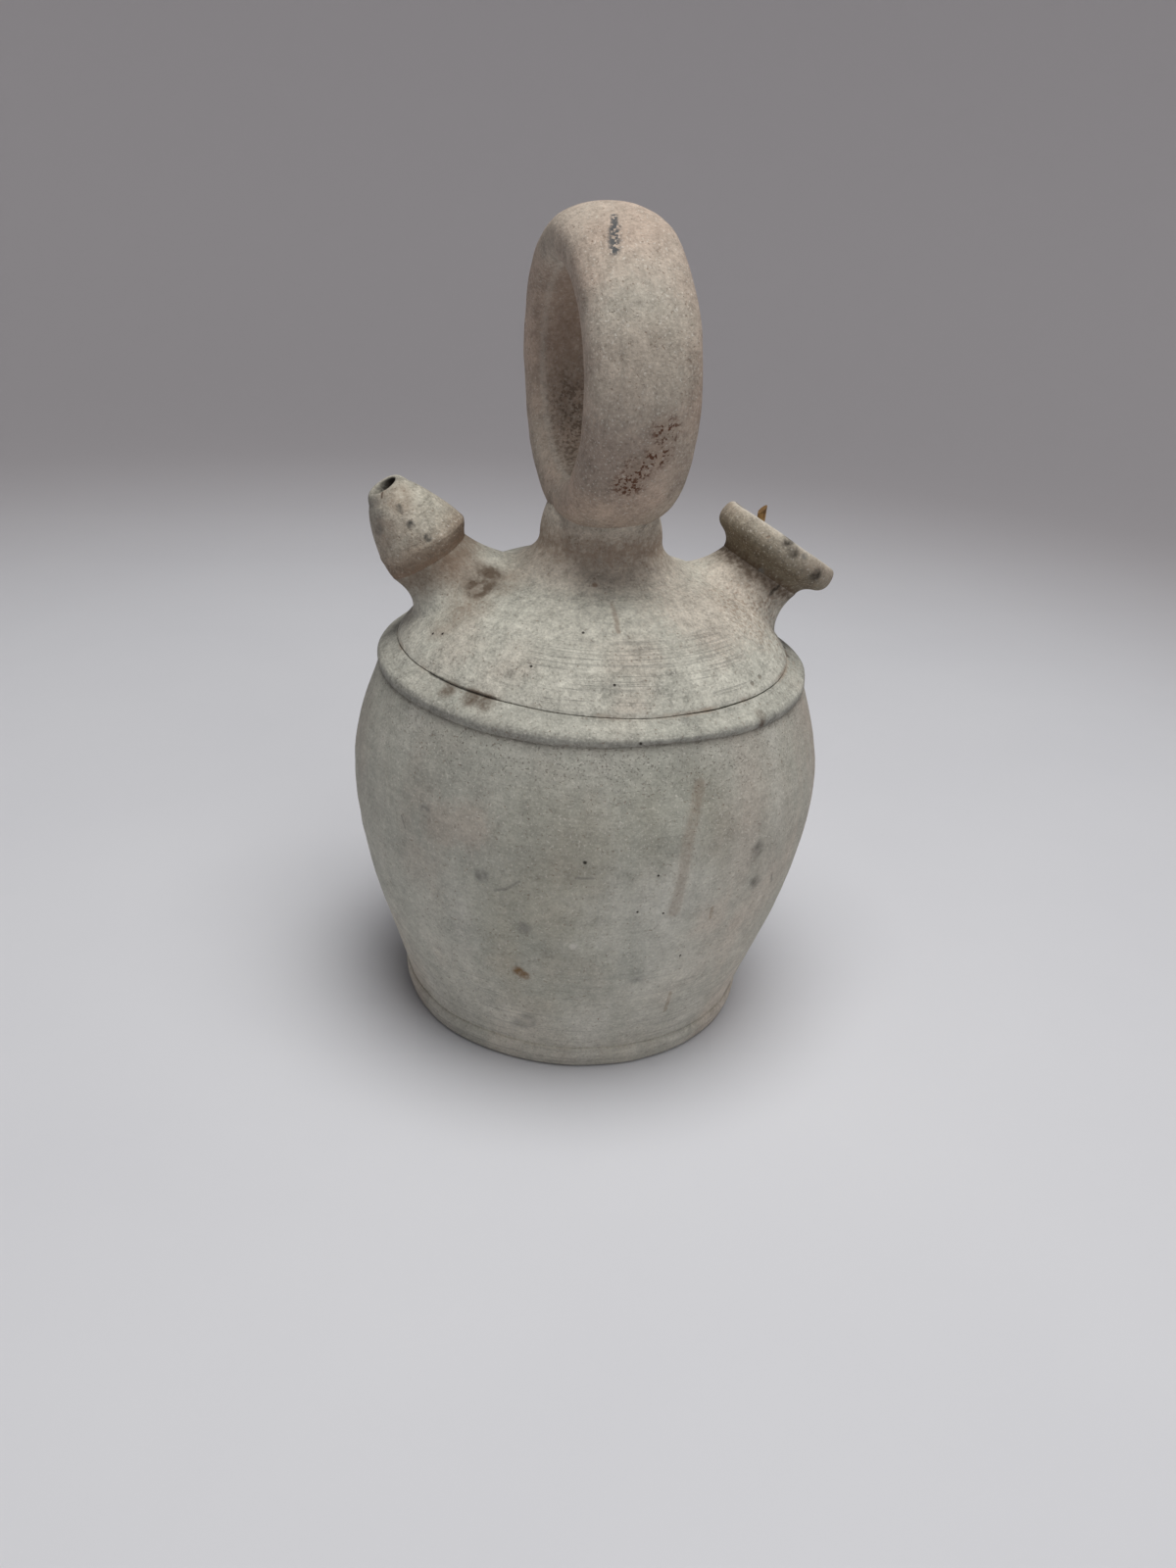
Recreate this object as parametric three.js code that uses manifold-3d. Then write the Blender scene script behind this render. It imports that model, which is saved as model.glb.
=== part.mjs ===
// A spouted drinking jug of unglazed white clay, thrown and luted together in sections: a foot
// slab, a belly, a shoulder band, a dome, a pedestal with a ring handle, a drinking spout, and a
// filling mouth closed by a cork with a whittled peg.
// Millimetres, +Z up. The origin is the middle of the foot's underside, +X points to the filling
// mouth, -X to the drinking spout, and the ring handle turns about the X direction.
import * as THREE from 'three';
import { mergeVertices } from 'three/addons/utils/BufferGeometryUtils.js';
import Module from 'manifold-3d';

const wasm = await Module();
wasm.setup();

// Driving dimensions in millimetres and degrees
const LUTE_GAP = 0.3; // space left between one piece and the next
const WALL = 6; // thickness of the belly, band and dome
const SKIRT_DROP = 1; // how far a collar's skirt falls away along its neck by its edge

const FOOT_RADIUS = 62; // at the bottom edge
const FOOT_FLARE = 1.2; // how far the foot's bead stands out past its bottom edge
const FOOT_CREASE = 0.8; // how far the belly starts inside the bead
const FOOT_HEIGHT = 8.4;

const BELLY_RADIUS = 82.1; // at the widest
const BELLY_WIDEST = 83; // height of the widest place above the foot
const BELLY_HEIGHT = 118.4;
const BELLY_TOP_RADIUS = 73.4;
const BELLY_LOWER_LEAN = 9; // outward lean of the lower wall over its first BELLY_LOWER_RUN
const BELLY_LOWER_RUN = 30;
const BELLY_UPPER_LEAN = 4.6; // inward lean of the upper wall over its last BELLY_UPPER_RUN
const BELLY_UPPER_RUN = 12;

const BAND_HEIGHT = 9.6;
const BAND_BULGE = 1.3; // how far the band stands out past the top of the belly
const BAND_BEAD = 1.8; // height of the widest place of the band
const BAND_BROW = 3; // height at which the band's face turns into the slope up to the seam
const BAND_ROUND = 2.4; // how far in the rounding of that turn runs
const SEAM_INSET = 6.2; // from the top of the belly in to where the dome rises from the band

const DOME_RISE = 28.5;
const DOME_EDGE = 10; // height of the steep start of the dome
const DOME_CROWN_RADIUS = 38; // reach of the flat crown

const PEDESTAL_HEIGHT = 10.8; // from the crown to the underside of the ring
const PEDESTAL_RADIUS = 19.2; // at the ring
const PEDESTAL_FOOT_RADIUS = 34;
const PEDESTAL_FLARE = 14; // height of the flare above its edge
const PEDESTAL_EDGE = 1; // thickness of the flare where it runs out on the dome
const PEDESTAL_WRAP = 6; // how far its rim climbs round the ring

const RING_RADIUS = 50; // outside
const RING_THICKNESS = 18.5;
const RING_WIDTH = 35;
const RING_LEAN = 2.3; // degrees that the ring leans towards the spout

const SPOUT_INSET = 16.2; // from the seam in to where the spout's axis leaves the dome
const SPOUT_TURN = 167; // degrees round from +X
const SPOUT_LEAN = 33; // degrees from upright
const SPOUT_COLLAR_HEIGHT = 11; // from the dome to the nozzle, along the spout
const SPOUT_NECK_RADIUS = 14;
const SPOUT_SKIRT_RADIUS = 21;
const SPOUT_SKIRT_SHIFT = 4; // how far the skirt's middle lies up the dome from the spout's axis
const SPOUT_BORE_RADIUS = 8;
const NOZZLE_RADIUS = 15.5; // at its shoulder
const NOZZLE_SHOULDER = 6.6; // height of the shoulder above the neck
const NOZZLE_UNDERCUT = 3.4; // height over which the shoulder slopes in under itself to the neck
const NOZZLE_LENGTH = 27.5;
const NOZZLE_TIP_RADIUS = 6.2;
const NOZZLE_TIP_ROUND = 1.6;
const NOZZLE_HOLE_RADIUS = 3.5;
const NOZZLE_WALL = 4.5;

const FILLER_INSET = 12.2; // from the seam in to where the mouth's axis leaves the dome
const FILLER_TURN = 2; // degrees round from +X
const FILLER_LEAN = 31.5; // degrees from upright
const FILLER_COLLAR_HEIGHT = 9; // from the dome to the flange, along the mouth
const FILLER_NECK_RADIUS = 15.2;
const FILLER_SKIRT_RADIUS = 21;
const FILLER_SKIRT_SHIFT = 4; // how far the skirt's middle lies up the dome from the mouth's axis
const FILLER_BORE_RADIUS = 9.4;
const FLANGE_RADIUS = 22.7;
const FLANGE_HEIGHT = 14.5;
const FLANGE_EDGE = 9.6; // height of the thick rim
const FLANGE_ROUND = 2.4; // how far the rim's rounded face bulges out
const FLANGE_DISH = 7.5; // depth of the dish's bend below the top of the rim
const FLANGE_THROAT = 3; // length of straight bore below the dish

const CORK_TAPER = 0.12; // radius lost for each millimetre down
const CORK_DEPTH = 8; // below the top of the bore
const CORK_RISE = 4; // above the top of the bore
const PEG_RADIUS = 1.5;
const PEG_DEPTH = 8; // driven into the cork
const PEG_LENGTH = 22.8;
const PEG_OFFSET = 2.8; // of its lower end from the middle of the cork, towards the handle
const PEG_LEAN = 28; // degrees towards the handle
const PEG_CUT = 45; // degrees of the slanting cut at its top, which faces the handle

// How finely round things are cut
const BODY_SIDES = 44;
const RING_SIDES = 40;
const RING_SECTION_STEPS = 8;
const NECK_SIDES = 28;
const PEG_SIDES = 12;
const CURVE_STEPS = 5;
const DOME_STEPS = 10;
const WELD = 1e-4;

const clayLook = (color) => new THREE.MeshStandardMaterial({ color, roughness: 0.95, metalness: 0 });
const bellyClay = clayLook('#bdb9ac');
const domeClay = clayLook('#cdc8b8');
const ringClay = clayLook('#c8bdaa');
const cork = new THREE.MeshStandardMaterial({ color: '#a57f52', roughness: 0.9, metalness: 0 });
const wood = new THREE.MeshStandardMaterial({ color: '#b99455', roughness: 0.8, metalness: 0 });

const radians = THREE.MathUtils.degToRad;

// Geometry with shared vertices merged and no empty triangles
function weld(geometry) {
  const bare = geometry.clone();
  bare.deleteAttribute('normal');
  bare.deleteAttribute('uv');
  const merged = mergeVertices(bare, WELD);
  const corners = merged.index.array;
  const kept = [];
  for (let i = 0; i < corners.length; i += 3) {
    const [a, b, c] = corners.slice(i, i + 3);
    if (a !== b && b !== c && c !== a) kept.push(a, b, c);
  }
  merged.setIndex(kept);
  merged.computeVertexNormals();
  return merged;
}

// Turns a profile of radius and height about Z. The profile runs up the outside.
function turned(points, sides) {
  return weld(new THREE.LatheGeometry(points, sides).rotateX(Math.PI / 2));
}

function toSolid(geometry) {
  const vertProperties = new Float32Array(geometry.attributes.position.array);
  const triVerts = new Uint32Array(geometry.index.array);
  return new wasm.Manifold(new wasm.Mesh({ numProp: 3, vertProperties, triVerts }));
}

function toGeometry(solid) {
  const mesh = solid.getMesh();
  const geometry = new THREE.BufferGeometry();
  geometry.setAttribute('position', new THREE.BufferAttribute(mesh.vertProperties, 3));
  geometry.setIndex(new THREE.BufferAttribute(mesh.triVerts, 1));
  geometry.computeVertexNormals();
  return geometry;
}

// The first geometry with each of the others cut away
function cut(geometry, ...cutters) {
  const left = cutters.reduce((solid, cutter) => solid.subtract(toSolid(cutter)), toSolid(geometry));
  return toGeometry(left);
}

// A plain closed cylinder from one height to another
function rod(radius, bottom, top, sides) {
  const profile = new THREE.Path();
  profile.moveTo(0, bottom);
  profile.lineTo(radius, bottom);
  profile.lineTo(radius, top);
  profile.lineTo(0, top);
  return turned(profile.getPoints(), sides);
}

function piece(name, geometry, material, parent, height = 0) {
  const mesh = new THREE.Mesh(geometry, material);
  mesh.name = name;
  mesh.position.z = height;
  parent.add(mesh);
}

// Heights at which the pieces are stacked, and the radii where the belly and the dome start
const bellySeat = FOOT_HEIGHT + LUTE_GAP;
const bandSeat = bellySeat + BELLY_HEIGHT + LUTE_GAP;
const domeSeat = bandSeat + BAND_HEIGHT + LUTE_GAP;
const crown = domeSeat + DOME_RISE;
const ringSeat = crown + PEDESTAL_HEIGHT;
const footNeck = FOOT_RADIUS + FOOT_FLARE - FOOT_CREASE;
const seamRadius = BELLY_TOP_RADIUS - SEAM_INSET;

function footGeometry() {
  const bead = FOOT_RADIUS + FOOT_FLARE;
  const profile = new THREE.Path();
  profile.moveTo(0, 0);
  profile.lineTo(FOOT_RADIUS, 0);
  profile.bezierCurveTo(bead, FOOT_HEIGHT / 4, bead, FOOT_HEIGHT / 2, footNeck, FOOT_HEIGHT);
  profile.lineTo(0, FOOT_HEIGHT);
  return turned(profile.getPoints(CURVE_STEPS), BODY_SIDES);
}

// The belly's skin from the foot to the band, drawn in by a wall thickness where asked
function bellySkin(inset) {
  const wide = BELLY_RADIUS - inset;
  const bottom = footNeck - inset;
  const top = BELLY_TOP_RADIUS - inset;
  const lowerPull = BELLY_WIDEST - BELLY_LOWER_RUN;
  const upperPull = BELLY_WIDEST + BELLY_UPPER_RUN;
  const upperEnd = BELLY_HEIGHT - BELLY_UPPER_RUN;
  const skin = new THREE.Path();
  skin.moveTo(bottom, 0);
  skin.bezierCurveTo(bottom + BELLY_LOWER_LEAN, BELLY_LOWER_RUN, wide, lowerPull, wide, BELLY_WIDEST);
  skin.bezierCurveTo(wide, upperPull, top + BELLY_UPPER_LEAN, upperEnd, top, BELLY_HEIGHT);
  return skin.getPoints(CURVE_STEPS);
}

function bellyGeometry() {
  const outside = bellySkin(0);
  const inside = bellySkin(WALL).reverse();
  return turned([...outside, ...inside, outside[0]], BODY_SIDES);
}

// The band's face, from the groove under its bead up to the seam
function bandFace(swell) {
  const groove = BELLY_TOP_RADIUS + swell;
  const lip = groove + BAND_BULGE;
  const seam = seamRadius + swell;
  const top = BAND_HEIGHT + swell;
  const slope = (top - BAND_BROW) / (lip - seam);
  const face = new THREE.Path();
  face.moveTo(groove, 0);
  face.quadraticCurveTo(lip, 0, lip, BAND_BEAD);
  face.quadraticCurveTo(lip, BAND_BROW, lip - BAND_ROUND, BAND_BROW + BAND_ROUND * slope);
  face.lineTo(seam, top);
  return face.getPoints(CURVE_STEPS);
}

function bandGeometry() {
  const inner = seamRadius - WALL;
  const foot = new THREE.Vector2(inner, 0);
  const head = new THREE.Vector2(inner, BAND_HEIGHT);
  return turned([foot, ...bandFace(0), head, foot], BODY_SIDES);
}

// The dome's skin from its edge to its crown, drawn in by a wall thickness where asked
function domeSkin(inset) {
  const edge = seamRadius - inset;
  const top = DOME_RISE - inset;
  return new THREE.CubicBezierCurve(
    new THREE.Vector2(edge, 0),
    new THREE.Vector2(edge, DOME_EDGE),
    new THREE.Vector2(DOME_CROWN_RADIUS, top),
    new THREE.Vector2(0, top),
  );
}

// Height of the dome's skin above its edge at a distance from the axis, found by halving
function domeHeightAt(radius) {
  const skin = domeSkin(0);
  const halvings = 40;
  let [low, high] = [0, 1];
  for (let i = 0; i < halvings; i += 1) {
    const middle = (low + high) / 2;
    if (skin.getPoint(middle).x > radius) low = middle;
    else high = middle;
  }
  return skin.getPoint(low).y;
}

// The dome, with a hole through it under each neck
function domeGeometry(...necks) {
  const outside = domeSkin(0).getPoints(DOME_STEPS);
  const inside = domeSkin(WALL).getPoints(DOME_STEPS).reverse();
  const holes = necks.map(({ group, bore }) => {
    const drill = rod(bore, -DOME_RISE, DOME_RISE, NECK_SIDES);
    return drill.applyMatrix4(group.matrix).translate(0, 0, -domeSeat);
  });
  return cut(turned([...inside, ...outside], BODY_SIDES), ...holes);
}

// Everything down from the skin of the band and dome, one lute gap proud, to cut what stands on them
function underDome() {
  const lift = (points, height) => points.map(({ x, y }) => new THREE.Vector2(x, y + height));
  const face = lift(bandFace(LUTE_GAP), bandSeat);
  const skin = lift(domeSkin(-LUTE_GAP).getPoints(DOME_STEPS), domeSeat);
  const bottom = [new THREE.Vector2(0, 0), new THREE.Vector2(BELLY_TOP_RADIUS, 0)];
  return turned([...bottom, ...face, ...skin], BODY_SIDES);
}

// The ring on its lowest point, leaning towards the spout
function ringGeometry(swell) {
  const middle = RING_RADIUS - RING_THICKNESS / 2;
  const section = new THREE.Path();
  section.absellipse(middle, 0, RING_THICKNESS / 2 + swell, RING_WIDTH / 2 + swell, 0, 2 * Math.PI);
  const ring = turned(section.getPoints(RING_SECTION_STEPS), RING_SIDES).rotateY(Math.PI / 2);
  return ring.translate(0, 0, RING_RADIUS).rotateY(-radians(RING_LEAN));
}

// The pedestal's column and flare before it is cut, measured up from the crown
function pedestalBlank(swell) {
  const foot = PEDESTAL_FOOT_RADIUS + swell;
  const waist = PEDESTAL_RADIUS + swell;
  const bend = waist + (foot - waist) / 3;
  const top = PEDESTAL_HEIGHT + PEDESTAL_WRAP;
  const bottom = domeHeightAt(PEDESTAL_FOOT_RADIUS) - DOME_RISE;
  const edge = bottom + PEDESTAL_EDGE + swell;
  const flareTop = edge + PEDESTAL_FLARE;
  const profile = new THREE.Path();
  profile.moveTo(0, bottom);
  profile.lineTo(foot, bottom);
  profile.lineTo(foot, edge);
  const third = PEDESTAL_FLARE / 3;
  profile.bezierCurveTo(bend, edge + third, waist, flareTop - third, waist, flareTop);
  profile.lineTo(waist, top);
  profile.lineTo(0, top);
  return turned(profile.getPoints(CURVE_STEPS), NECK_SIDES);
}

function pedestalGeometry() {
  const ground = underDome().translate(0, 0, -crown);
  const ring = ringGeometry(LUTE_GAP).translate(0, 0, PEDESTAL_HEIGHT);
  return cut(pedestalBlank(0), ground, ring);
}

// A neck leaning out of the dome: its group's Z runs along it from the dome's skin
function neckAt(inset, turn, lean, bore) {
  const group = new THREE.Group();
  const reach = seamRadius - inset;
  const around = radians(turn);
  group.rotation.set(0, radians(lean), around, 'ZYX');
  group.position.set(reach * Math.cos(around), reach * Math.sin(around), domeSeat + domeHeightAt(reach));
  group.updateMatrix();
  return { group, bore };
}

// A hollow flare from the dome up to a neck, in the neck's own group. Its skirt is drawn up the dome.
function collarGeometry({ group, bore }, neckRadius, skirtRadius, skirtShift, height) {
  const bend = neckRadius + (skirtRadius - neckRadius) / 4;
  const profile = new THREE.Path();
  profile.moveTo(0, -skirtRadius);
  profile.lineTo(skirtRadius, -skirtRadius);
  profile.lineTo(skirtRadius, -SKIRT_DROP);
  profile.bezierCurveTo(bend, 0, neckRadius, height / 3, neckRadius, height);
  profile.lineTo(0, height);
  const shear = new THREE.Matrix4().makeShear(0, 0, 0, 0, skirtShift / height, 0);
  const flare = turned(profile.getPoints(CURVE_STEPS), NECK_SIDES);
  flare.applyMatrix4(shear).translate(-skirtShift, 0, 0);
  const intoNeck = group.matrix.clone().invert();
  const ground = underDome().applyMatrix4(intoNeck);
  const pedestal = pedestalBlank(LUTE_GAP).translate(0, 0, crown).applyMatrix4(intoNeck);
  return cut(flare, ground, pedestal, rod(bore, -2 * skirtRadius, 2 * height, NECK_SIDES));
}

// The drinking nozzle: a shoulder that overhangs its neck, a cone and a small hole
function nozzleGeometry() {
  const neckEnd = NOZZLE_LENGTH - NOZZLE_TIP_ROUND;
  const hollow = NOZZLE_RADIUS - NOZZLE_WALL;
  const roof = NOZZLE_LENGTH - NOZZLE_WALL;
  const profile = new THREE.Path();
  profile.moveTo(SPOUT_BORE_RADIUS, 0);
  profile.lineTo(SPOUT_NECK_RADIUS, 0);
  profile.quadraticCurveTo(NOZZLE_RADIUS, NOZZLE_UNDERCUT, NOZZLE_RADIUS, NOZZLE_SHOULDER);
  profile.lineTo(NOZZLE_TIP_RADIUS, neckEnd);
  profile.quadraticCurveTo(NOZZLE_TIP_RADIUS, NOZZLE_LENGTH, NOZZLE_HOLE_RADIUS, NOZZLE_LENGTH);
  profile.lineTo(NOZZLE_HOLE_RADIUS, roof);
  profile.lineTo(hollow, NOZZLE_SHOULDER);
  profile.lineTo(SPOUT_BORE_RADIUS, 0);
  return turned(profile.getPoints(CURVE_STEPS), NECK_SIDES);
}

// The filling mouth's dished flange with its thick round rim
function flangeGeometry() {
  const half = FLANGE_EDGE / 2;
  const rim = FLANGE_RADIUS - FLANGE_ROUND;
  const under = FLANGE_HEIGHT - FLANGE_EDGE;
  const dishBend = FLANGE_HEIGHT - FLANGE_DISH;
  const profile = new THREE.Path();
  profile.moveTo(FILLER_BORE_RADIUS, 0);
  profile.lineTo(FILLER_NECK_RADIUS, 0);
  profile.quadraticCurveTo(FILLER_NECK_RADIUS, under, rim, under);
  profile.absellipse(rim, under + half, FLANGE_ROUND, half, -Math.PI / 2, Math.PI / 2);
  profile.quadraticCurveTo(rim - FLANGE_ROUND, dishBend, FILLER_BORE_RADIUS, FLANGE_THROAT);
  profile.lineTo(FILLER_BORE_RADIUS, 0);
  return turned(profile.getPoints(CURVE_STEPS), NECK_SIDES);
}

// Leans a peg-shaped geometry and sets it in the cork
function setInCork(geometry) {
  return geometry.rotateY(-radians(PEG_LEAN)).translate(-PEG_OFFSET, 0, CORK_RISE - PEG_DEPTH);
}

// A twig whittled round and cut slanting at the top
function pegGeometry() {
  const knifeSize = PEG_LENGTH;
  const knife = new THREE.BoxGeometry(knifeSize, knifeSize, knifeSize).translate(0, 0, knifeSize / 2);
  const slant = PEG_RADIUS * Math.tan(radians(PEG_CUT));
  knife.rotateY(-radians(PEG_CUT)).translate(0, 0, PEG_LENGTH - slant);
  return setInCork(cut(rod(PEG_RADIUS, 0, PEG_LENGTH, PEG_SIDES), weld(knife)));
}

// The cork, measured up from the top of the bore, with the peg's hole
function corkGeometry() {
  const seat = FILLER_BORE_RADIUS - LUTE_GAP;
  const profile = new THREE.Path();
  profile.moveTo(0, -CORK_DEPTH);
  profile.lineTo(seat - CORK_TAPER * CORK_DEPTH, -CORK_DEPTH);
  profile.lineTo(seat + CORK_TAPER * CORK_RISE, CORK_RISE);
  profile.lineTo(0, CORK_RISE);
  const hole = setInCork(rod(PEG_RADIUS + LUTE_GAP, -LUTE_GAP, PEG_LENGTH, PEG_SIDES));
  return cut(turned(profile.getPoints(), NECK_SIDES), hole);
}

const jug = new THREE.Group();
const spout = neckAt(SPOUT_INSET, SPOUT_TURN, SPOUT_LEAN, SPOUT_BORE_RADIUS);
const filler = neckAt(FILLER_INSET, FILLER_TURN, FILLER_LEAN, FILLER_BORE_RADIUS);
jug.add(spout.group, filler.group);

piece('base_foot', footGeometry(), bellyClay, jug);
piece('belly_wall', bellyGeometry(), bellyClay, jug, bellySeat);
piece('shoulder_band', bandGeometry(), domeClay, jug, bandSeat);
piece('dome', domeGeometry(spout, filler), domeClay, jug, domeSeat);
piece('handle_pedestal', pedestalGeometry(), domeClay, jug, crown);
piece('ring_handle', ringGeometry(0), ringClay, jug, ringSeat);

const spoutSkirt = [SPOUT_NECK_RADIUS, SPOUT_SKIRT_RADIUS, SPOUT_SKIRT_SHIFT, SPOUT_COLLAR_HEIGHT];
piece('spout_collar', collarGeometry(spout, ...spoutSkirt), domeClay, spout.group);
piece('spout_nozzle', nozzleGeometry(), domeClay, spout.group, SPOUT_COLLAR_HEIGHT + LUTE_GAP);

const fillerSkirt = [FILLER_NECK_RADIUS, FILLER_SKIRT_RADIUS, FILLER_SKIRT_SHIFT, FILLER_COLLAR_HEIGHT];
const flangeSeat = FILLER_COLLAR_HEIGHT + LUTE_GAP;
const boreTop = flangeSeat + FLANGE_THROAT;
piece('filler_collar', collarGeometry(filler, ...fillerSkirt), domeClay, filler.group);
piece('filler_flange', flangeGeometry(), domeClay, filler.group, flangeSeat);
piece('stopper_cork', corkGeometry(), cork, filler.group, boreTop);
piece('stopper_peg', pegGeometry(), wood, filler.group, boreTop);

export default jug;
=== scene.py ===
"""Dresses the solids of a spouted drinking jug in unglazed white clay.

Pieces are shaped in millimetres, in the jug's own frame, and stored in metres. +Z is up, +X points
to the filling mouth and -X to the drinking spout.
"""
import math

import bmesh
import bpy
from mathutils import Matrix, Vector, noise
from mathutils.geometry import interpolate_bezier


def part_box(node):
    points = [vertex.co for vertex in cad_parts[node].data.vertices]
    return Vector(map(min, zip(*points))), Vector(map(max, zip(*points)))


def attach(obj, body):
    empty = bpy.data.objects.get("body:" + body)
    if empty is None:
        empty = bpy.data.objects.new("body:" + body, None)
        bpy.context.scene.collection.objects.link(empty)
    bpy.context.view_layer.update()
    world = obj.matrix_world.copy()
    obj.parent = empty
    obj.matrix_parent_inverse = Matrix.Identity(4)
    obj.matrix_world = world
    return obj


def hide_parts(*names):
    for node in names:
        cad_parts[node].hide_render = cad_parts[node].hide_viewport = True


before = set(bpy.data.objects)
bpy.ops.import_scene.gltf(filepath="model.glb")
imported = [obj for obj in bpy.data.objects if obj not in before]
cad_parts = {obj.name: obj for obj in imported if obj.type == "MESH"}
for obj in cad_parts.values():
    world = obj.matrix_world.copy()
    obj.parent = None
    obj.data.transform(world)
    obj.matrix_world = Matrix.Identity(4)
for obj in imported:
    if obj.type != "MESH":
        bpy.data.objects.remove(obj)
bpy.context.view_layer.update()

MM = 0.001


def span(node):
    """The lowest and the highest corner of a solid, in millimetres."""
    low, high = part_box(node)
    return low / MM, high / MM


# Seats and reaches that the solids give
FOOT_TOP = span("base_foot")[1].z
BELLY_SEAT = span("belly_wall")[0].z
BELLY_RADIUS = span("belly_wall")[1].x
BAND_SEAT = span("shoulder_band")[0].z
BAND_TOP = span("shoulder_band")[1].z
DOME_SEAT = span("dome")[0].z
CROWN = span("dome")[1].z
SEAM_RADIUS = span("dome")[1].x
RING_SEAT = span("ring_handle")[0].z
RING_RADIUS = span("ring_handle")[1].y

# Walls and joints
WALL = 6.0
LUTE = 0.7
SINK = 0.45
WHEEL_STEPS = 192
NECK_STEPS = 160
WELD = 0.002
WANDER = 0.35
WANDER_LENGTH = 55.0
TOUCH = 0.3
TOUCH_LENGTH = 15.0
HAND_SEED = 5

# Foot and belly, with the points of the foot's outline as (radius, height)
FOOT_RADIUS = 62.0
FOOT_RIM = 63.3
FOOT_NECK = 62.4
FOOT_SOLE = (FOOT_RADIUS - 2.4, 0)
FOOT_SOLE_CORNER = (FOOT_RADIUS - 0.3, 0)
FOOT_EDGE = (FOOT_RADIUS, 1.8)
FOOT_FACE_LOW = (FOOT_RADIUS + 0.5, 3.4)
FOOT_FACE_HIGH = (FOOT_RIM, 4.8)
FOOT_BROW = (FOOT_RIM, 6.4)
WIDEST = 83.0
LOWER_PULL = (9.0, 30.0)
UPPER_PULL = (4.6, 12.0)
BELLY_TOP_RADIUS = 73.4
RIDGE = 0.13
RIDGE_PITCH = 5.5
RIDGE_CLIMB = 1.5
SWELL = 0.25
SWELL_PITCH = 26.0
SWELL_DRIFT = 0.3
SWELL_SEED = 4.0

# Shoulder band and its seam with the dome, with the points of its outline as (radius, height)
GROOVE = BAND_SEAT + 0.5
GROOVE_DEPTH = 0.2
BAND_FACE = BELLY_TOP_RADIUS + 0.8
BAND_CORNER = (BAND_FACE - 0.2, GROOVE + 0.4)
BAND_BEAD = (BAND_FACE, GROOVE + 2.4)
BAND_BROW = (BAND_FACE, GROOVE + 4.1)
BAND_ROUND = 1.8
BAND_ROUND_RISE = 0.6 * BAND_ROUND
BAND_STEPS = 8
SEAM_WIDTH = 0.4
SEAM_DEPTH = 0.3
FILL_TURN = 0.6
FILL_PATCHES = 1.7
FILL_SEED = 3.0
FILL_SHARE = 0.5
FILL_CONTRAST = 1.6
CRACK_FROM = math.radians(-145)
CRACK_TO = math.radians(-131)
CRACK_LIFT = 0.3
CRACK_CORE = 1.2
CRACK_RISE = 1.0

# Where the shoulder has settled: the place, its reach around, its spread in height and its depth
SETTLED = [
    (Vector((68, 0, 140)), 200.0, 12.0, 1.5),
    (Vector((-4, -67, 139)), 45.0, 8.0, 1.0),
    (Vector((2, -73, 128)), 45.0, 5.0, -1.1),
]

# Dome
DOME_EDGE = 9.0
DOME_DRAW = 5.0
DOME_CROWN_RADIUS = 43.0
DOME_FINE_STEPS = 400

# Ring handle and its pedestal
RING_THICKNESS = 18.5
RING_WIDTH = 35.0
RING_LEAN = math.radians(2.3)
RING_OUTER_FULLNESS = 2.1
RING_INNER_FULLNESS = 3.8
RING_STEPS = 192
SECTION_STEPS = 64
RING_LUMP = 0.45
RING_LUMP_LENGTH = 17.0
RING_DENT = 0.15
RING_DENT_LENGTH = 6.0
RING_CORE = RING_RADIUS - RING_THICKNESS / 2
RING_MIDDLE = Vector((0, 0, RING_SEAT + RING_RADIUS))
RING = Matrix.Translation(RING_MIDDLE) @ Matrix.Rotation(math.pi / 2 - RING_LEAN, 4, "Y")
PEDESTAL_RADIUS = 20.5
PEDESTAL_FOOT_RADIUS = 38.0
PEDESTAL_WAIST = RING_SEAT - 3.5
PEDESTAL_GRIP = 17.3
PEDESTAL_WRAP = 26.0
PEDESTAL_ROWS = 10
PEDESTAL_ROW = 0.1
PEDESTAL_ROOT = 3.0
PEDESTAL_LID = 3.0
PEDESTAL_FLARE = 0.62
PEDESTAL_TUCK = 0.5

# Necks
COLLAR_HEM = 0.45
COLLAR_RISE = 0.45
COLLAR_DRAW = 0.1
COLLAR_LAP = 0.5
COLLAR_ROOT = 3.0
DRILL_LENGTH = 60.0
GROUND_LOW = -30.0
GROUND_HIGH = 15.0
GROUND_FINE = 0.01

# Spout
SPOUT_TURN = math.radians(167)
SPOUT_LEAN = math.radians(33)
SPOUT_REACH = 51.0
SPOUT_HEIGHT = 153.68
SPOUT_COLLAR = 11.0
SPOUT_NECK = 14.0
SPOUT_SKIRT = 23.5
SPOUT_SHIFT = 5.5
SPOUT_BORE = 8.0

# The spout's nozzle, with the points of its outline as (radius, height)
NOZZLE_SEAT = 11.3
NOZZLE_RADIUS = 15.5
NOZZLE_SHOULDER = 6.6
NOZZLE_LENGTH = 27.5
NOZZLE_TIP = 7.7
NOZZLE_LIP = NOZZLE_LENGTH - 3.2
NOZZLE_HOLE = 4.2
NOZZLE_WALL = 4.5
NOZZLE_UNDER = (NOZZLE_RADIUS - 0.6, 3.0)
NOZZLE_RIDGE_LOW = (NOZZLE_RADIUS - 0.2, 5.4)
NOZZLE_RIDGE = (NOZZLE_RADIUS + 0.3, NOZZLE_SHOULDER)
NOZZLE_RIDGE_HIGH = (NOZZLE_RADIUS - 0.4, 8.0)
NOZZLE_CONE_LOW = (NOZZLE_RADIUS - 1.5, 13.0)
NOZZLE_CONE_HIGH = (NOZZLE_TIP + 3.6, NOZZLE_LIP - 4.0)
NOZZLE_CONE_TOP = (NOZZLE_TIP, NOZZLE_LIP)
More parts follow.
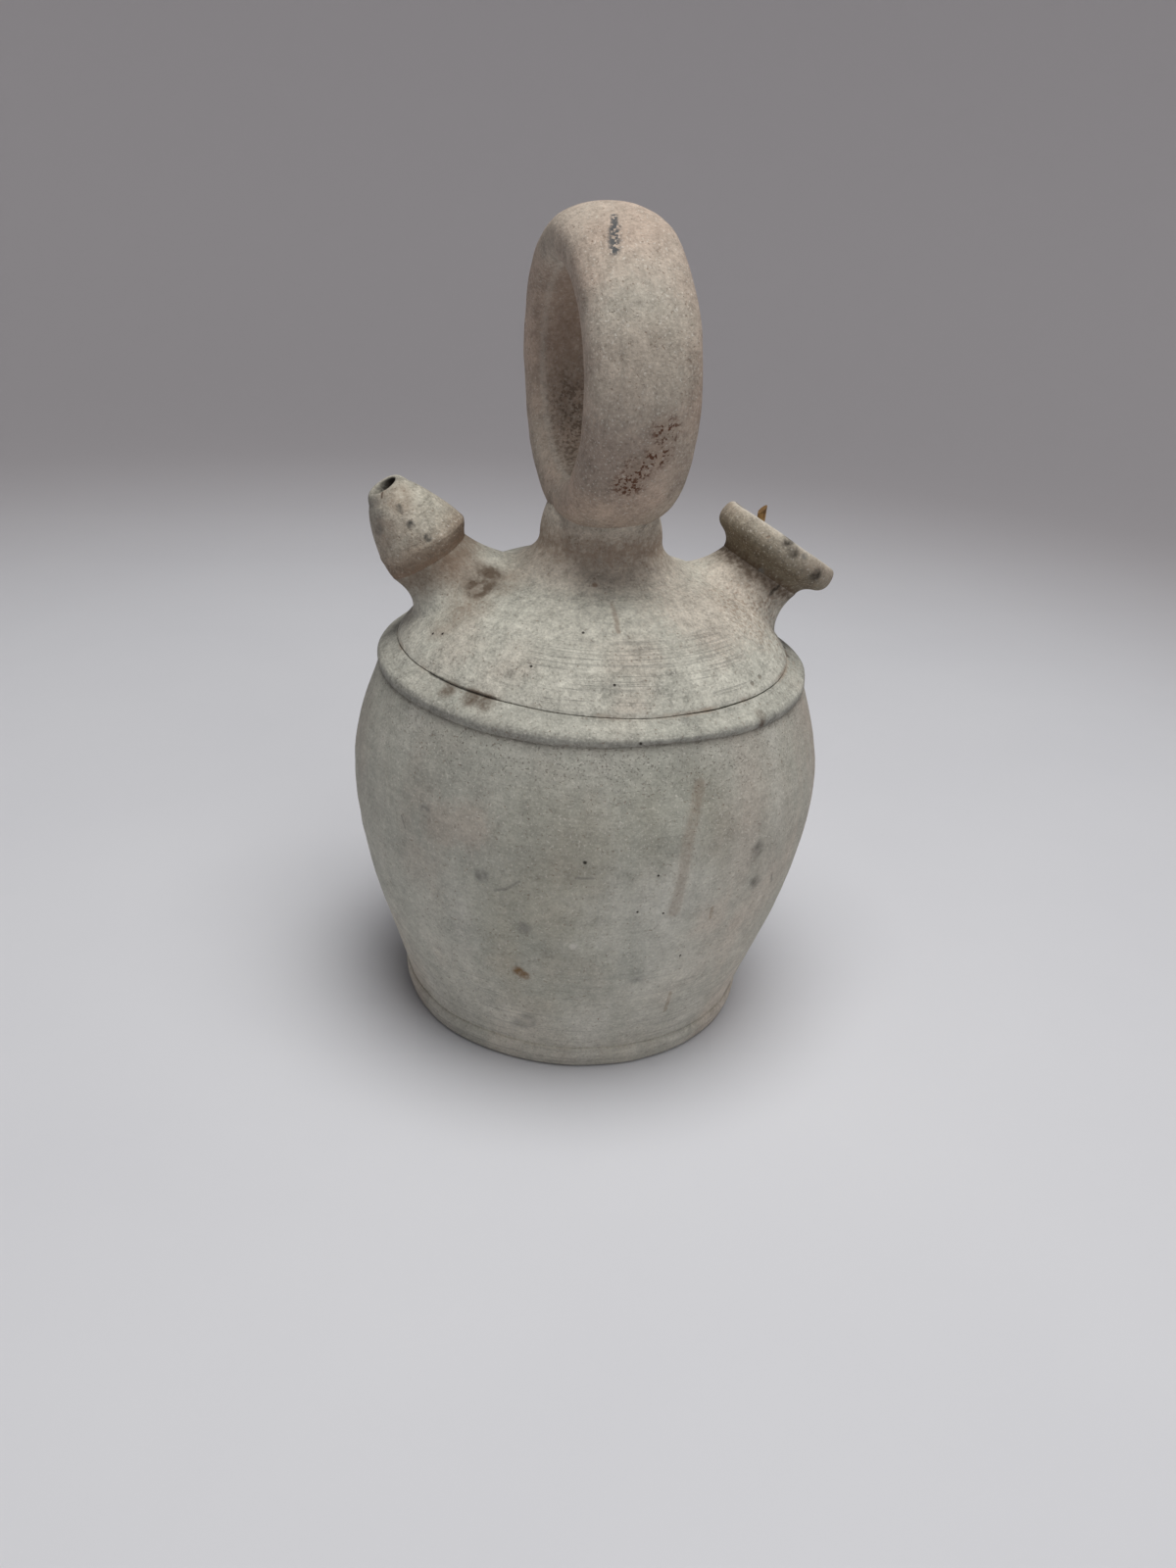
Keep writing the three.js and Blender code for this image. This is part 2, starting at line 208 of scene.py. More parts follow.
NOZZLE_TIP_CORNER = (NOZZLE_TIP - 1.2, NOZZLE_LENGTH)
NOZZLE_TIP_TOP = (NOZZLE_HOLE + 0.8, NOZZLE_LENGTH)
NOZZLE_MOUTH = (NOZZLE_HOLE, NOZZLE_LENGTH - 1.2)
NOZZLE_HOLE_END = (NOZZLE_HOLE, NOZZLE_LIP - 4.0)
NOZZLE_HOLLOW = (NOZZLE_RADIUS - NOZZLE_WALL, NOZZLE_SHOULDER + 1.0)
NOZZLE_SKEW = 1.2
NOZZLE_TILT = 0.058
NOZZLE_PIVOT = 5.0
NOZZLE_SLANT = 0.16
NOZZLE_SLANT_RUN = 8.0

# Filling mouth
FILLER_TURN = math.radians(2)
FILLER_LEAN = math.radians(31.5)
FILLER_REACH = 55.0
FILLER_HEIGHT = 151.33
FILLER_COLLAR = 9.0
FILLER_NECK = 15.2
FILLER_SKIRT = 21.5
FILLER_SHIFT = 4.0
FILLER_BORE = 9.4

# The mouth's flange, with the points of its outline as (radius, height)
FLANGE_SEAT = 9.3
FLANGE_RADIUS = 22.7
FLANGE_HEIGHT = 14.5
FLANGE_LIP = 20.3
FLANGE_THROAT = 3.0
FLANGE_NECK = (FILLER_NECK + 0.3, 3.4)
FLANGE_BELL = (19.4, 5.0)
FLANGE_FACE_LOW = (FLANGE_RADIUS - 0.3, 6.2)
FLANGE_FACE_HIGH = (FLANGE_RADIUS + 0.6, 8.6)
FLANGE_EDGE = (FLANGE_RADIUS - 0.1, 12.0)
FLANGE_EDGE_CORNER = (FLANGE_RADIUS - 0.6, FLANGE_HEIGHT)
FLANGE_DISH = (FLANGE_LIP - 2.4, 7.0)

# Stopper
CORK_DEPTH = 8.0
CORK_RISE = 4.0
CORK_TAPER = 0.12
CORK_CLEARANCE = 0.3
CORK_ROUND = 0.8
CORK_PIT = 0.35
CORK_PIT_SIZE = 2.2
PEG_RADIUS = 1.5
PEG_OFFSET = 2.8
PEG_DEPTH = 8.0
PEG_LENGTH = 22.8
PEG_LEAN = math.radians(28)
PEG_CUT = math.radians(45)
PEG_SIDES = 9
PEG_CUTS = 9
PEG_SHAVE = 0.12
PEG_SHAVE_LENGTH = 5.0

# Camera, lamps and stage
CAMERA_DISTANCE = 449.97
CAMERA_HEIGHT = 299.89
CAMERA_TURN = math.radians(16.75)
CAMERA_YAW = math.radians(0.2205)
CAMERA_PITCH = math.radians(26.015)
CAMERA_ROLL = math.radians(4.083)
CAMERA_LENS = 31.5
FLOOR_RADIUS = 900.0
BACKDROP_RADIUS = 1500.0
BACKDROP_HEIGHT = 1100.0
STAGE_STEPS = 96


# Shaping

# One seed, so that the hand wanders the same way in every run
noise.seed_set(HAND_SEED)


def curve(start, leave, arrive, end, count):
    """Points of a Bezier curve of (radius, height) pairs, both ends included."""
    knots = [Vector(pair) for pair in (start, leave, arrive, end)]
    return [tuple(point) for point in interpolate_bezier(*knots, count)]


def bend(start, corner, end, count):
    """Points of a curve that rounds a corner."""
    leave = Vector(start).lerp(Vector(corner), 2 / 3)
    arrive = Vector(end).lerp(Vector(corner), 2 / 3)
    return curve(start, leave, arrive, end, count)


def inset(outline, depth):
    """The same points, moved towards the axis."""
    return [(radius - depth, height) for radius, height in outline]


def thrown(outline, steps=WHEEL_STEPS):
    """A closed outline of (radius, height) points turned about Z, as on a wheel."""
    shape = bmesh.new()
    rim = [shape.verts.new((radius, 0, height)) for radius, height in outline]
    pairs = zip(rim, rim[1:] + rim[:1])
    sides = [shape.edges.new(pair) for pair in pairs if max(v.co.x for v in pair) > WELD]
    bmesh.ops.spin(shape, geom=rim + sides, cent=(0, 0, 0), axis=(0, 0, 1), angle=math.tau,
                   steps=steps, use_merge=True)
    return closed(shape)


def closed(shape):
    """The shape with its seams merged and its faces turned outwards."""
    bmesh.ops.remove_doubles(shape, verts=shape.verts, dist=WELD)
    bmesh.ops.dissolve_degenerate(shape, edges=shape.edges, dist=WELD)
    bmesh.ops.recalc_face_normals(shape, faces=shape.faces)
    return shape


def eased(value):
    """0 to 1 with soft ends."""
    held = min(max(value, 0.0), 1.0)
    return held * held * (3 - 2 * held)


def sag(point):
    """How far the shoulder has sunk at a point."""
    drop = 0.0
    for place, reach, spread, depth in SETTLED:
        level = eased(1 - abs(point.z - place.z) / spread)
        drop += depth * level * eased(1 - (point - place).length / reach)
    return drop


def hand_worked(shape):
    """Lets the clay wander as under a hand: the same way everywhere, so that neighbours stay joined."""
    for vert in shape.verts:
        stray = noise.noise_vector(vert.co / WANDER_LENGTH) * WANDER
        stray += noise.noise_vector(vert.co / TOUCH_LENGTH) * TOUCH
        stray.z *= min(vert.co.z / FOOT_TOP, 1.0)
        stray.z -= sag(vert.co)
        vert.co += stray
    return shape


def ridged(shape):
    """Raises the soft rings that the potter's fingers leave on a thrown wall."""
    shape.normal_update()
    for vert in shape.verts:
        turn = math.atan2(vert.co.y, vert.co.x)
        rise = vert.co.z + RIDGE_CLIMB * math.sin(turn)
        fine = noise.noise((math.cos(turn), math.sin(turn), rise / RIDGE_PITCH))
        slow = noise.noise((SWELL_SEED, SWELL_DRIFT * math.cos(turn), rise / SWELL_PITCH))
        vert.co += vert.normal * (RIDGE * fine + SWELL * slow)
    return shape


def as_object(name, shape):
    """A new object at the origin that holds a shape given in millimetres."""
    bmesh.ops.scale(shape, vec=(MM, MM, MM), verts=shape.verts)
    mesh = bpy.data.meshes.new(name)
    shape.to_mesh(mesh)
    shape.free()
    piece = bpy.data.objects.new(name, mesh)
    bpy.context.scene.collection.objects.link(piece)
    return piece


def pierced(shape, drills):
    """The shape with each drill's shape cut out of it."""
    blank = as_object("blank", shape)
    cutters = [as_object("drill", drill) for drill in drills]
    for cutter in cutters:
        hole = blank.modifiers.new("hole", "BOOLEAN")
        hole.operation = "DIFFERENCE"
        hole.solver = "EXACT"
        hole.object = cutter
    cut = bmesh.new()
    cut.from_object(blank, bpy.context.evaluated_depsgraph_get())
    bmesh.ops.scale(cut, vec=(1 / MM, 1 / MM, 1 / MM), verts=cut.verts)
    for spare in [blank, *cutters]:
        bpy.data.meshes.remove(spare.data)
    return closed(cut)


def set_out(name, shape, material, body, crisp=40):
    """Makes the finished piece that stands for the solid of the same name."""
    piece = as_object(name + "_skin", shape)
    piece.data.shade_smooth()
    piece.data.set_sharp_from_angle(angle=math.radians(crisp))
    piece.data.materials.append(material)
    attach(piece, body)
    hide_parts(name)


# Foot, belly and shoulder


def foot_shape():
    """The floor slab: a low plinth, drawn in at the floor, with a soft upper edge."""
    edge = bend(FOOT_SOLE, FOOT_SOLE_CORNER, FOOT_EDGE, 6)
    face = curve(FOOT_EDGE, FOOT_FACE_LOW, FOOT_FACE_HIGH, FOOT_BROW, 10)
    brow = bend(FOOT_BROW, (FOOT_RIM, FOOT_TOP), (FOOT_NECK, FOOT_TOP + LUTE / 2), 8)
    lid = [(FOOT_NECK - LUTE, FOOT_TOP + LUTE), (0, FOOT_TOP + LUTE)]
    return hand_worked(thrown([(0, 0), *edge, *face[1:], *brow[1:], *lid]))


def belly_outline():
    """The belly's skin from its heel to the groove under the band."""
    lean, run = LOWER_PULL
    heel = (FOOT_NECK, BELLY_SEAT)
    widest = (BELLY_RADIUS, BELLY_SEAT + WIDEST)
    lower = curve(heel, (heel[0] + lean, heel[1] + run), (BELLY_RADIUS, widest[1] - run), widest, 64)
    lean, run = UPPER_PULL
    top = (BELLY_TOP_RADIUS, GROOVE)
    upper = curve(widest, (BELLY_RADIUS, widest[1] + run), (top[0] + lean, top[1] - run), top, 36)
    return lower + upper[1:]


def belly_shape():
    skin = belly_outline()
    tuck_low = (FOOT_NECK - LUTE, BELLY_SEAT - LUTE)
    tuck_high = (BELLY_TOP_RADIUS - LUTE, GROOVE + LUTE)
    lining = inset(skin, WALL)[::-3]
    return hand_worked(ridged(thrown([tuck_low, *skin, tuck_high, *lining])))


def band_shape():
    """The luted band: a soft groove below, a round brow, and a slope up to the scored seam."""
    low = bend((BELLY_TOP_RADIUS - GROOVE_DEPTH, GROOVE), BAND_CORNER, BAND_BEAD, 8)
    turn = (BAND_FACE - BAND_ROUND, BAND_BROW[1] + BAND_ROUND_RISE)
    brow = bend(BAND_BEAD, BAND_BROW, turn, 10)
    lip = (SEAM_RADIUS + SEAM_WIDTH, BAND_TOP - SEAM_DEPTH)
    shares = [step / BAND_STEPS for step in range(1, BAND_STEPS + 1)]
    slope = [tuple(Vector(turn).lerp(Vector(lip), share)) for share in shares]
    score = (SEAM_RADIUS - SEAM_WIDTH, BAND_TOP - 2 * SEAM_DEPTH)
    back = [(SEAM_RADIUS - WALL, score[1]), (SEAM_RADIUS - WALL, GROOVE)]
    shape = thrown([*low, *brow[1:], *slope, score, *back])
    for vert in shape.verts:
        if lip[0] - WALL / 2 < vert.co.xy.length < SEAM_RADIUS and vert.co.z > BAND_BROW[1]:
            vert.co.z += 2 * SEAM_DEPTH * filled(vert.co)
    return hand_worked(shape)


def filled(point):
    """How far the seam is smeared shut around the jug: 0 where it stays open, 1 where it is filled."""
    turn = math.atan2(point.y, point.x) + FILL_TURN
    around = (FILL_PATCHES * math.cos(turn), FILL_PATCHES * math.sin(turn), FILL_SEED)
    return eased(FILL_SHARE + FILL_CONTRAST * noise.noise(around))


def cracked(point):
    """1 in the middle of the cracked stretch of the seam, 0 away from it."""
    turn = math.atan2(point.y, point.x)
    middle = (CRACK_FROM + CRACK_TO) / 2
    half = (CRACK_TO - CRACK_FROM) / 2
    return eased(CRACK_CORE * (1 - abs(turn - middle) / half))


# Dome, pedestal and ring


def dome_outline(count):
    """The dome's skin from its edge to its crown."""
    edge = (SEAM_RADIUS, DOME_SEAT)
    leave = (SEAM_RADIUS - DOME_DRAW, DOME_SEAT + DOME_EDGE)
    return curve(edge, leave, (DOME_CROWN_RADIUS, CROWN), (0, CROWN), count)


DOME_SKIN = dome_outline(DOME_FINE_STEPS)


def dome_height(reach):
    """The height of the dome's skin at a distance from the axis."""
    for (outer, low), (inner, high) in zip(DOME_SKIN, DOME_SKIN[1:]):
        if reach >= inner:
            share = (outer - min(reach, outer)) / (outer - inner)
            return low + share * (high - low)
    return CROWN


def dome_shape():
    skin = dome_outline(64)
    tuck = [(SEAM_RADIUS - WALL, DOME_SEAT - LUTE), (SEAM_RADIUS - LUTE, DOME_SEAT - LUTE)]
    lining = curve((SEAM_RADIUS - WALL, DOME_SEAT), (SEAM_RADIUS - WALL, DOME_SEAT + DOME_EDGE / 2),
                   (DOME_CROWN_RADIUS, CROWN - WALL), (0, CROWN - WALL), 24)
    shape = ridged(thrown([*tuck, *skin, *lining[::-1][:-1]]))
    for vert in shape.verts:
        if vert.co.z < DOME_SEAT + CRACK_RISE:
            vert.co.z += CRACK_LIFT * cracked(vert.co)
    drills = [bore_drill(SPOUT, SPOUT_BORE), bore_drill(FILLER, FILLER_BORE)]
    return hand_worked(pierced(shape, drills))


def ring_underside(x, y):
    """The height of the ring's outer skin over a point, near its lowest part."""
    share = min(abs(x) / (RING_WIDTH / 2), 1.0)
    fullness = RING_OUTER_FULLNESS
    outer = RING_CORE + RING_THICKNESS / 2 * (1 - share ** fullness) ** (1 / fullness)
    return RING_SEAT + RING_RADIUS - math.sqrt(outer * outer - y * y)


def pedestal_shape():
    """The flared lump between dome and ring, its top drawn up around the ring's underside."""
    reach = PEDESTAL_FOOT_RADIUS
    foot = (reach, dome_height(reach) - SINK)
    slope = dome_height(reach - 1) - dome_height(reach)
    corner = (PEDESTAL_RADIUS, foot[1] + slope * (reach - PEDESTAL_RADIUS))
    flare = bend(foot, corner, (PEDESTAL_RADIUS, PEDESTAL_WAIST), 24)
    stem = [(PEDESTAL_RADIUS, PEDESTAL_WAIST + PEDESTAL_ROW * row) for row in range(1, PEDESTAL_ROWS + 1)]
    root = [(0, CROWN - WALL / 2), (reach - PEDESTAL_ROOT, foot[1] - WALL / 2)]
    lid = RING_SEAT + PEDESTAL_LID
    shape = thrown([*root, *flare, *stem, (PEDESTAL_RADIUS / 2, lid), (0, lid)])
    for vert in shape.verts:
        row = (vert.co.z - PEDESTAL_WAIST) / PEDESTAL_ROW
        if 0.5 < row < PEDESTAL_ROWS + 0.5:
            vert.co = drawn_up(math.atan2(vert.co.y, vert.co.x), row / PEDESTAL_ROWS)
    return hand_worked(shape)


def drawn_up(turn, share):
    """A point of the pedestal's top: from its waist at 0 to the ring's underside at 1."""
    grip = 1 / math.hypot(math.cos(turn) / PEDESTAL_GRIP, math.sin(turn) / PEDESTAL_WRAP)
    seat = ring_underside(grip * math.cos(turn), grip * math.sin(turn)) + LUTE
    waist = Vector((PEDESTAL_RADIUS, PEDESTAL_WAIST))
    if grip > PEDESTAL_RADIUS:
        lift = PEDESTAL_FLARE * (grip - PEDESTAL_RADIUS)
    else:
        lift = PEDESTAL_TUCK * (seat - PEDESTAL_WAIST)
    corner = Vector((PEDESTAL_RADIUS, seat - lift))
    reach, height = waist.lerp(corner, share).lerp(corner.lerp(Vector((grip, seat)), share), share)
    return Vector((reach * math.cos(turn), reach * math.sin(turn), height))


def ring_shape():
    """The upright ring: round outside, flatter with tighter edges inside."""
    shape = bmesh.new()
    rim = []
    for step in range(SECTION_STEPS):
        turn = math.tau * step / SECTION_STEPS
        fullness = RING_OUTER_FULLNESS if math.cos(turn) > 0 else RING_INNER_FULLNESS
        across = math.copysign(abs(math.sin(turn)) ** (2 / fullness), math.sin(turn))
        out = math.copysign(abs(math.cos(turn)) ** (2 / fullness), math.cos(turn))
        height = RING_RADIUS - RING_CORE - out * RING_THICKNESS / 2
        rim.append(shape.verts.new((across * RING_WIDTH / 2, 0, height)))
    sides = [shape.edges.new(pair) for pair in zip(rim, rim[1:] + rim[:1])]
    bmesh.ops.spin(shape, geom=rim + sides, cent=(0, 0, RING_RADIUS), axis=(1, 0, 0), angle=math.tau,
                   steps=RING_STEPS, use_merge=True)
    closed(shape)
    lean = Matrix.Translation((0, 0, RING_SEAT)) @ Matrix.Rotation(-RING_LEAN, 4, "Y")
    bmesh.ops.transform(shape, matrix=lean, verts=shape.verts)
    shape.normal_update()
    for vert in shape.verts:
        swell = RING_LUMP * noise.noise(vert.co / RING_LUMP_LENGTH)
        swell += RING_DENT * noise.noise(vert.co / RING_DENT_LENGTH)
        vert.co += vert.normal * swell
    return hand_worked(shape)


# Necks


def neck_frame(turn, lean, reach, height):
    """The place and lean of a neck that stands on the dome."""
    place = Vector((reach * math.cos(turn), reach * math.sin(turn), height))
    return Matrix.Translation(place) @ Matrix.Rotation(turn, 4, "Z") @ Matrix.Rotation(lean, 4, "Y")


SPOUT = neck_frame(SPOUT_TURN, SPOUT_LEAN, SPOUT_REACH, SPOUT_HEIGHT)
FILLER = neck_frame(FILLER_TURN, FILLER_LEAN, FILLER_REACH, FILLER_HEIGHT)


def bore_drill(neck, bore):
    """A round bar down a neck's axis."""
    shape = bmesh.new()
    bmesh.ops.create_cone(shape, cap_ends=True, segments=NECK_STEPS, radius1=bore, radius2=bore,
                          depth=DRILL_LENGTH)
    bmesh.ops.transform(shape, matrix=neck, verts=shape.verts)
    return shape


def ground(neck, x, y):
    """How far above a neck's own base plane the dome's skin lies."""
    low = GROUND_LOW
    high = GROUND_HIGH
    while high - low > GROUND_FINE:
        middle = (low + high) / 2
        point = neck @ Vector((x, y, middle))
        if point.z > dome_height(point.xy.length):
            high = middle
        else:
            low = middle
    return high


def collar_shape(neck, radius, skirt, shift, height, bore):
    """A neck's flared root, its skirt laid down on the dome."""
    hem = radius + COLLAR_HEM * (skirt - radius)
    flare = curve((skirt, 0), (hem, 0), (radius, COLLAR_RISE * height), (radius, height), 22)
    brim = [(radius - COLLAR_DRAW, height + COLLAR_LAP), (bore, height + COLLAR_LAP)]
    root = [(bore, -WALL - COLLAR_ROOT), (skirt - COLLAR_ROOT, -WALL / 2)]
    shape = thrown([*flare, *brim, (bore, height / 2), *root], NECK_STEPS)
    for vert in shape.verts:
        if vert.co.xy.length < bore + LUTE:
            continue
        share = 1 - max(vert.co.z, 0) / height
        vert.co.x -= shift * share
        if share > 0:
            vert.co.z += (ground(neck, vert.co.x, vert.co.y) - SINK) * share
    bmesh.ops.transform(shape, matrix=neck, verts=shape.verts)
    return hand_worked(shape)


def nozzle_shape():
    """The cone that is drunk from, over a crisp ridge that overhangs its neck."""
    under = bend((SPOUT_NECK, 0), NOZZLE_UNDER, NOZZLE_RIDGE_LOW, 8)
    ridge = bend(NOZZLE_RIDGE_LOW, NOZZLE_RIDGE, NOZZLE_RIDGE_HIGH, 8)
    cone = curve(NOZZLE_RIDGE_HIGH, NOZZLE_CONE_LOW, NOZZLE_CONE_HIGH, NOZZLE_CONE_TOP, 24)
    tip = bend(NOZZLE_CONE_TOP, NOZZLE_TIP_CORNER, NOZZLE_TIP_TOP, 8)
    mouth = bend(NOZZLE_TIP_TOP, (NOZZLE_HOLE, NOZZLE_LENGTH), NOZZLE_MOUTH, 6)
    hollow = [NOZZLE_HOLE_END, NOZZLE_HOLLOW, (SPOUT_BORE, 0)]
    shape = thrown([*under, *ridge[1:], *cone[1:], *tip[1:], *mouth[1:], *hollow], NECK_STEPS)
    for vert in shape.verts:
        rise = eased(vert.co.z / NOZZLE_SHOULDER)
        fall = eased((NOZZLE_LENGTH - vert.co.z) / (NOZZLE_LENGTH - NOZZLE_SHOULDER))
        share = min(rise, fall)
        slant = NOZZLE_SLANT * eased(1 - (NOZZLE_LENGTH - vert.co.z) / NOZZLE_SLANT_RUN)
        vert.co.z += NOZZLE_TILT * (vert.co.x - NOZZLE_PIVOT) * share - slant * vert.co.y
        vert.co.x -= NOZZLE_SKEW * share
    bmesh.ops.transform(shape, matrix=SPOUT @ Matrix.Translation((0, 0, NOZZLE_SEAT)), verts=shape.verts)
    return hand_worked(shape)


def flange_shape():
    """The dished mouth: a bell that swells into a thick, round rim."""
    bell = bend((FILLER_NECK, 0), FLANGE_NECK, FLANGE_BELL, 14)
    face = curve(FLANGE_BELL, FLANGE_FACE_LOW, FLANGE_FACE_HIGH, FLANGE_EDGE, 16)
    edge = bend(FLANGE_EDGE, FLANGE_EDGE_CORNER, (FLANGE_LIP, FLANGE_HEIGHT), 8)
    dish = bend(edge[-1], FLANGE_DISH, (FILLER_BORE, FLANGE_THROAT), 20)
    outline = [*bell, *face[1:], *edge[1:], *dish[1:], (FILLER_BORE, 0)]
    shape = thrown(outline, NECK_STEPS)
    bmesh.ops.transform(shape, matrix=FILLER @ Matrix.Translation((0, 0, FLANGE_SEAT)), verts=shape.verts)
    return hand_worked(shape)


# Stopper


def in_bore():
    """The frame of the stopper: the bore's upper edge, on the mouth's axis."""
    return FILLER @ Matrix.Translation((0, 0, FLANGE_SEAT + FLANGE_THROAT))


def in_cork():
    """The frame of the peg: its foot inside the cork, leaning towards the handle."""
    foot = Matrix.Translation((-PEG_OFFSET, 0, CORK_RISE - PEG_DEPTH))
    return in_bore() @ foot @ Matrix.Rotation(-PEG_LEAN, 4, "Y")


def cork_shape():
    """The cork: a short taper with worn edges and a pitted top."""
    middle = FILLER_BORE - CORK_CLEARANCE
    foot = middle - CORK_TAPER * CORK_DEPTH
    head = middle + CORK_TAPER * CORK_RISE
    low = bend((foot - CORK_ROUND, -CORK_DEPTH), (foot, -CORK_DEPTH), (foot, CORK_ROUND - CORK_DEPTH), 5)
    side = [(foot + (head - foot) * share, -CORK_DEPTH + (CORK_DEPTH + CORK_RISE - CORK_ROUND) * share)
            for share in (0.25, 0.5, 0.75, 1.0)]
    high = bend(side[-1], (head, CORK_RISE), (head - CORK_ROUND, CORK_RISE), 5)
    top = [(head * share, CORK_RISE) for share in (0.8, 0.6, 0.4, 0.2, 0)]
    shape = thrown([(0, -CORK_DEPTH), *low, *side, *high[1:], *top], NECK_STEPS)
    for vert in shape.verts:
        if vert.co.z > 0:
            vert.co.z -= CORK_PIT * max(0, noise.noise(vert.co / CORK_PIT_SIZE))
    bmesh.ops.transform(shape, matrix=in_bore(), verts=shape.verts)
    return shape


def peg_shape():
    """The whittled peg through the cork, its tip cut on the slant."""
    shape = bmesh.new()
    bmesh.ops.create_cone(shape, cap_ends=True, segments=PEG_SIDES, radius1=PEG_RADIUS, radius2=PEG_RADIUS,
                          depth=PEG_LENGTH)
    long_edges = [edge for edge in shape.edges
                  if abs(edge.verts[0].co.z - edge.verts[1].co.z) > PEG_LENGTH / 2]
    bmesh.ops.subdivide_edges(shape, edges=long_edges, cuts=PEG_CUTS)
    bmesh.ops.translate(shape, vec=(0, 0, PEG_LENGTH / 2), verts=shape.verts)
    for vert in shape.verts:
        shave = 1 - PEG_SHAVE * abs(noise.noise((vert.co.x, vert.co.y, vert.co.z / PEG_SHAVE_LENGTH)))
        vert.co.x *= shave
        vert.co.y *= shave
    slant = Vector((-math.sin(PEG_CUT), 0, math.cos(PEG_CUT)))
    tip = Vector((0, 0, PEG_LENGTH - PEG_RADIUS * math.tan(PEG_CUT)))
    cut = bmesh.ops.bisect_plane(shape, geom=[*shape.verts, *shape.edges, *shape.faces], plane_co=tip,
                                 plane_no=slant, clear_outer=True)
    rim = [item for item in cut["geom_cut"] if isinstance(item, bmesh.types.BMEdge)]
    bmesh.ops.holes_fill(shape, edges=rim)
    closed(shape)
    bmesh.ops.transform(shape, matrix=in_cork(), verts=shape.verts)
    return shape


# Finishes


def paint(code):
    """A colour written as sRGB hex digits, as the linear values that a shader takes."""
    parts = [int(code[at:at + 2], 16) / 255 for at in (0, 2, 4)]
    return [part / 12.92 if part <= 0.04045 else ((part + 0.055) / 1.055) ** 2.4 for part in parts] + [1.0]


# Clay; olive is also laid as painted shade, and chalk as painted highlight
CREAM = paint("c6c4b8")
SAGE = paint("b4b5aa")
OLIVE = paint("98947f")
SAND = paint("d0c6b8")
BUFF = paint("c2ae9f")
BLUSH = paint("b2a193")
DUN = paint("aca090")
CHALK = paint("e2ded4")

# Dirt; umber, soil, ash and hole are also laid as painted shade
ASH = paint("7b7a75")
SLATE = paint("4c4b47")
UMBER = paint("8f7a68")
SOIL_AND_SHADE = paint("5f5042")
RUST = paint("5a3726")
OCHRE = paint("7d6244")
HOLE = paint("2f2a25")
INK = paint("3b454c")

# Cork, wood and paper
BARK = paint("a8805a")
BARK_PALE = paint("c49a70")
BARK_PIT = paint("4d3626")
WOOD = paint("b8935f")
WOOD_PALE = paint("dcb98a")
WOOD_FIBRE = paint("775937")
WOOD_END = paint("5d452c")
PAPER = paint("dedfe3")
PAPER_CLOUD = paint("d7d8dd")
PAPER_FAR = paint("bcb9bc")

# How far a mark reaches through the skin, and the share of its width that is whole
SKIN_DEPTH = 4.0
SPOT_CORE = 0.35
SMEAR_CORE = 0.3
HEART_HEIGHT = 100.0
UPRIGHT = Matrix.Identity(4)


class Shade:
    """One value in a material. Sums, differences and products of values add Math nodes."""

    def __init__(self, tree, socket=None):
        self.tree = tree
        self.socket = socket

    def node(self, kind, settings=None, sockets=None, output=0):
        """A node of any kind: its settings first, then the values or links of its sockets."""
        node = self.tree.nodes.new("ShaderNode" + kind)
        for name, value in (settings or {}).items():
            setattr(node, name, value)
        for name, value in (sockets or {}).items():
            if isinstance(value, Shade):
                self.tree.links.new(value.socket, node.inputs[name])
            else:
                node.inputs[name].default_value = value
        return Shade(self.tree, node.outputs[output])

    def math(self, operation, first, second=0.0):
        return self.node("Math", {"operation": operation}, {0: first, 1: second})

    def __add__(self, other):
        return self.math("ADD", self, other)

    def __radd__(self, other):
        return self.math("ADD", other, self)

    def __sub__(self, other):
        return self.math("SUBTRACT", self, other)

    def __rsub__(self, other):
        return self.math("SUBTRACT", other, self)

    def __mul__(self, other):
        return self.math("MULTIPLY", self, other)

    def __abs__(self):
        return self.math("ABSOLUTE", self)

    def most(self, *others):
        """The largest of several values."""
        largest = self
        for other in others:
            largest = self.math("MAXIMUM", largest, other)
        return largest

    def held(self):
        """The value kept between 0 and 1."""
        return self.node("Clamp", sockets={"Value": self})

    def fade(self, none, full):
        """0 at one value and 1 at the other, with soft ends."""
        sockets = {"Value": self, "From Min": none, "From Max": full}
        return self.node("MapRange", {"interpolation_type": "SMOOTHSTEP"}, sockets)


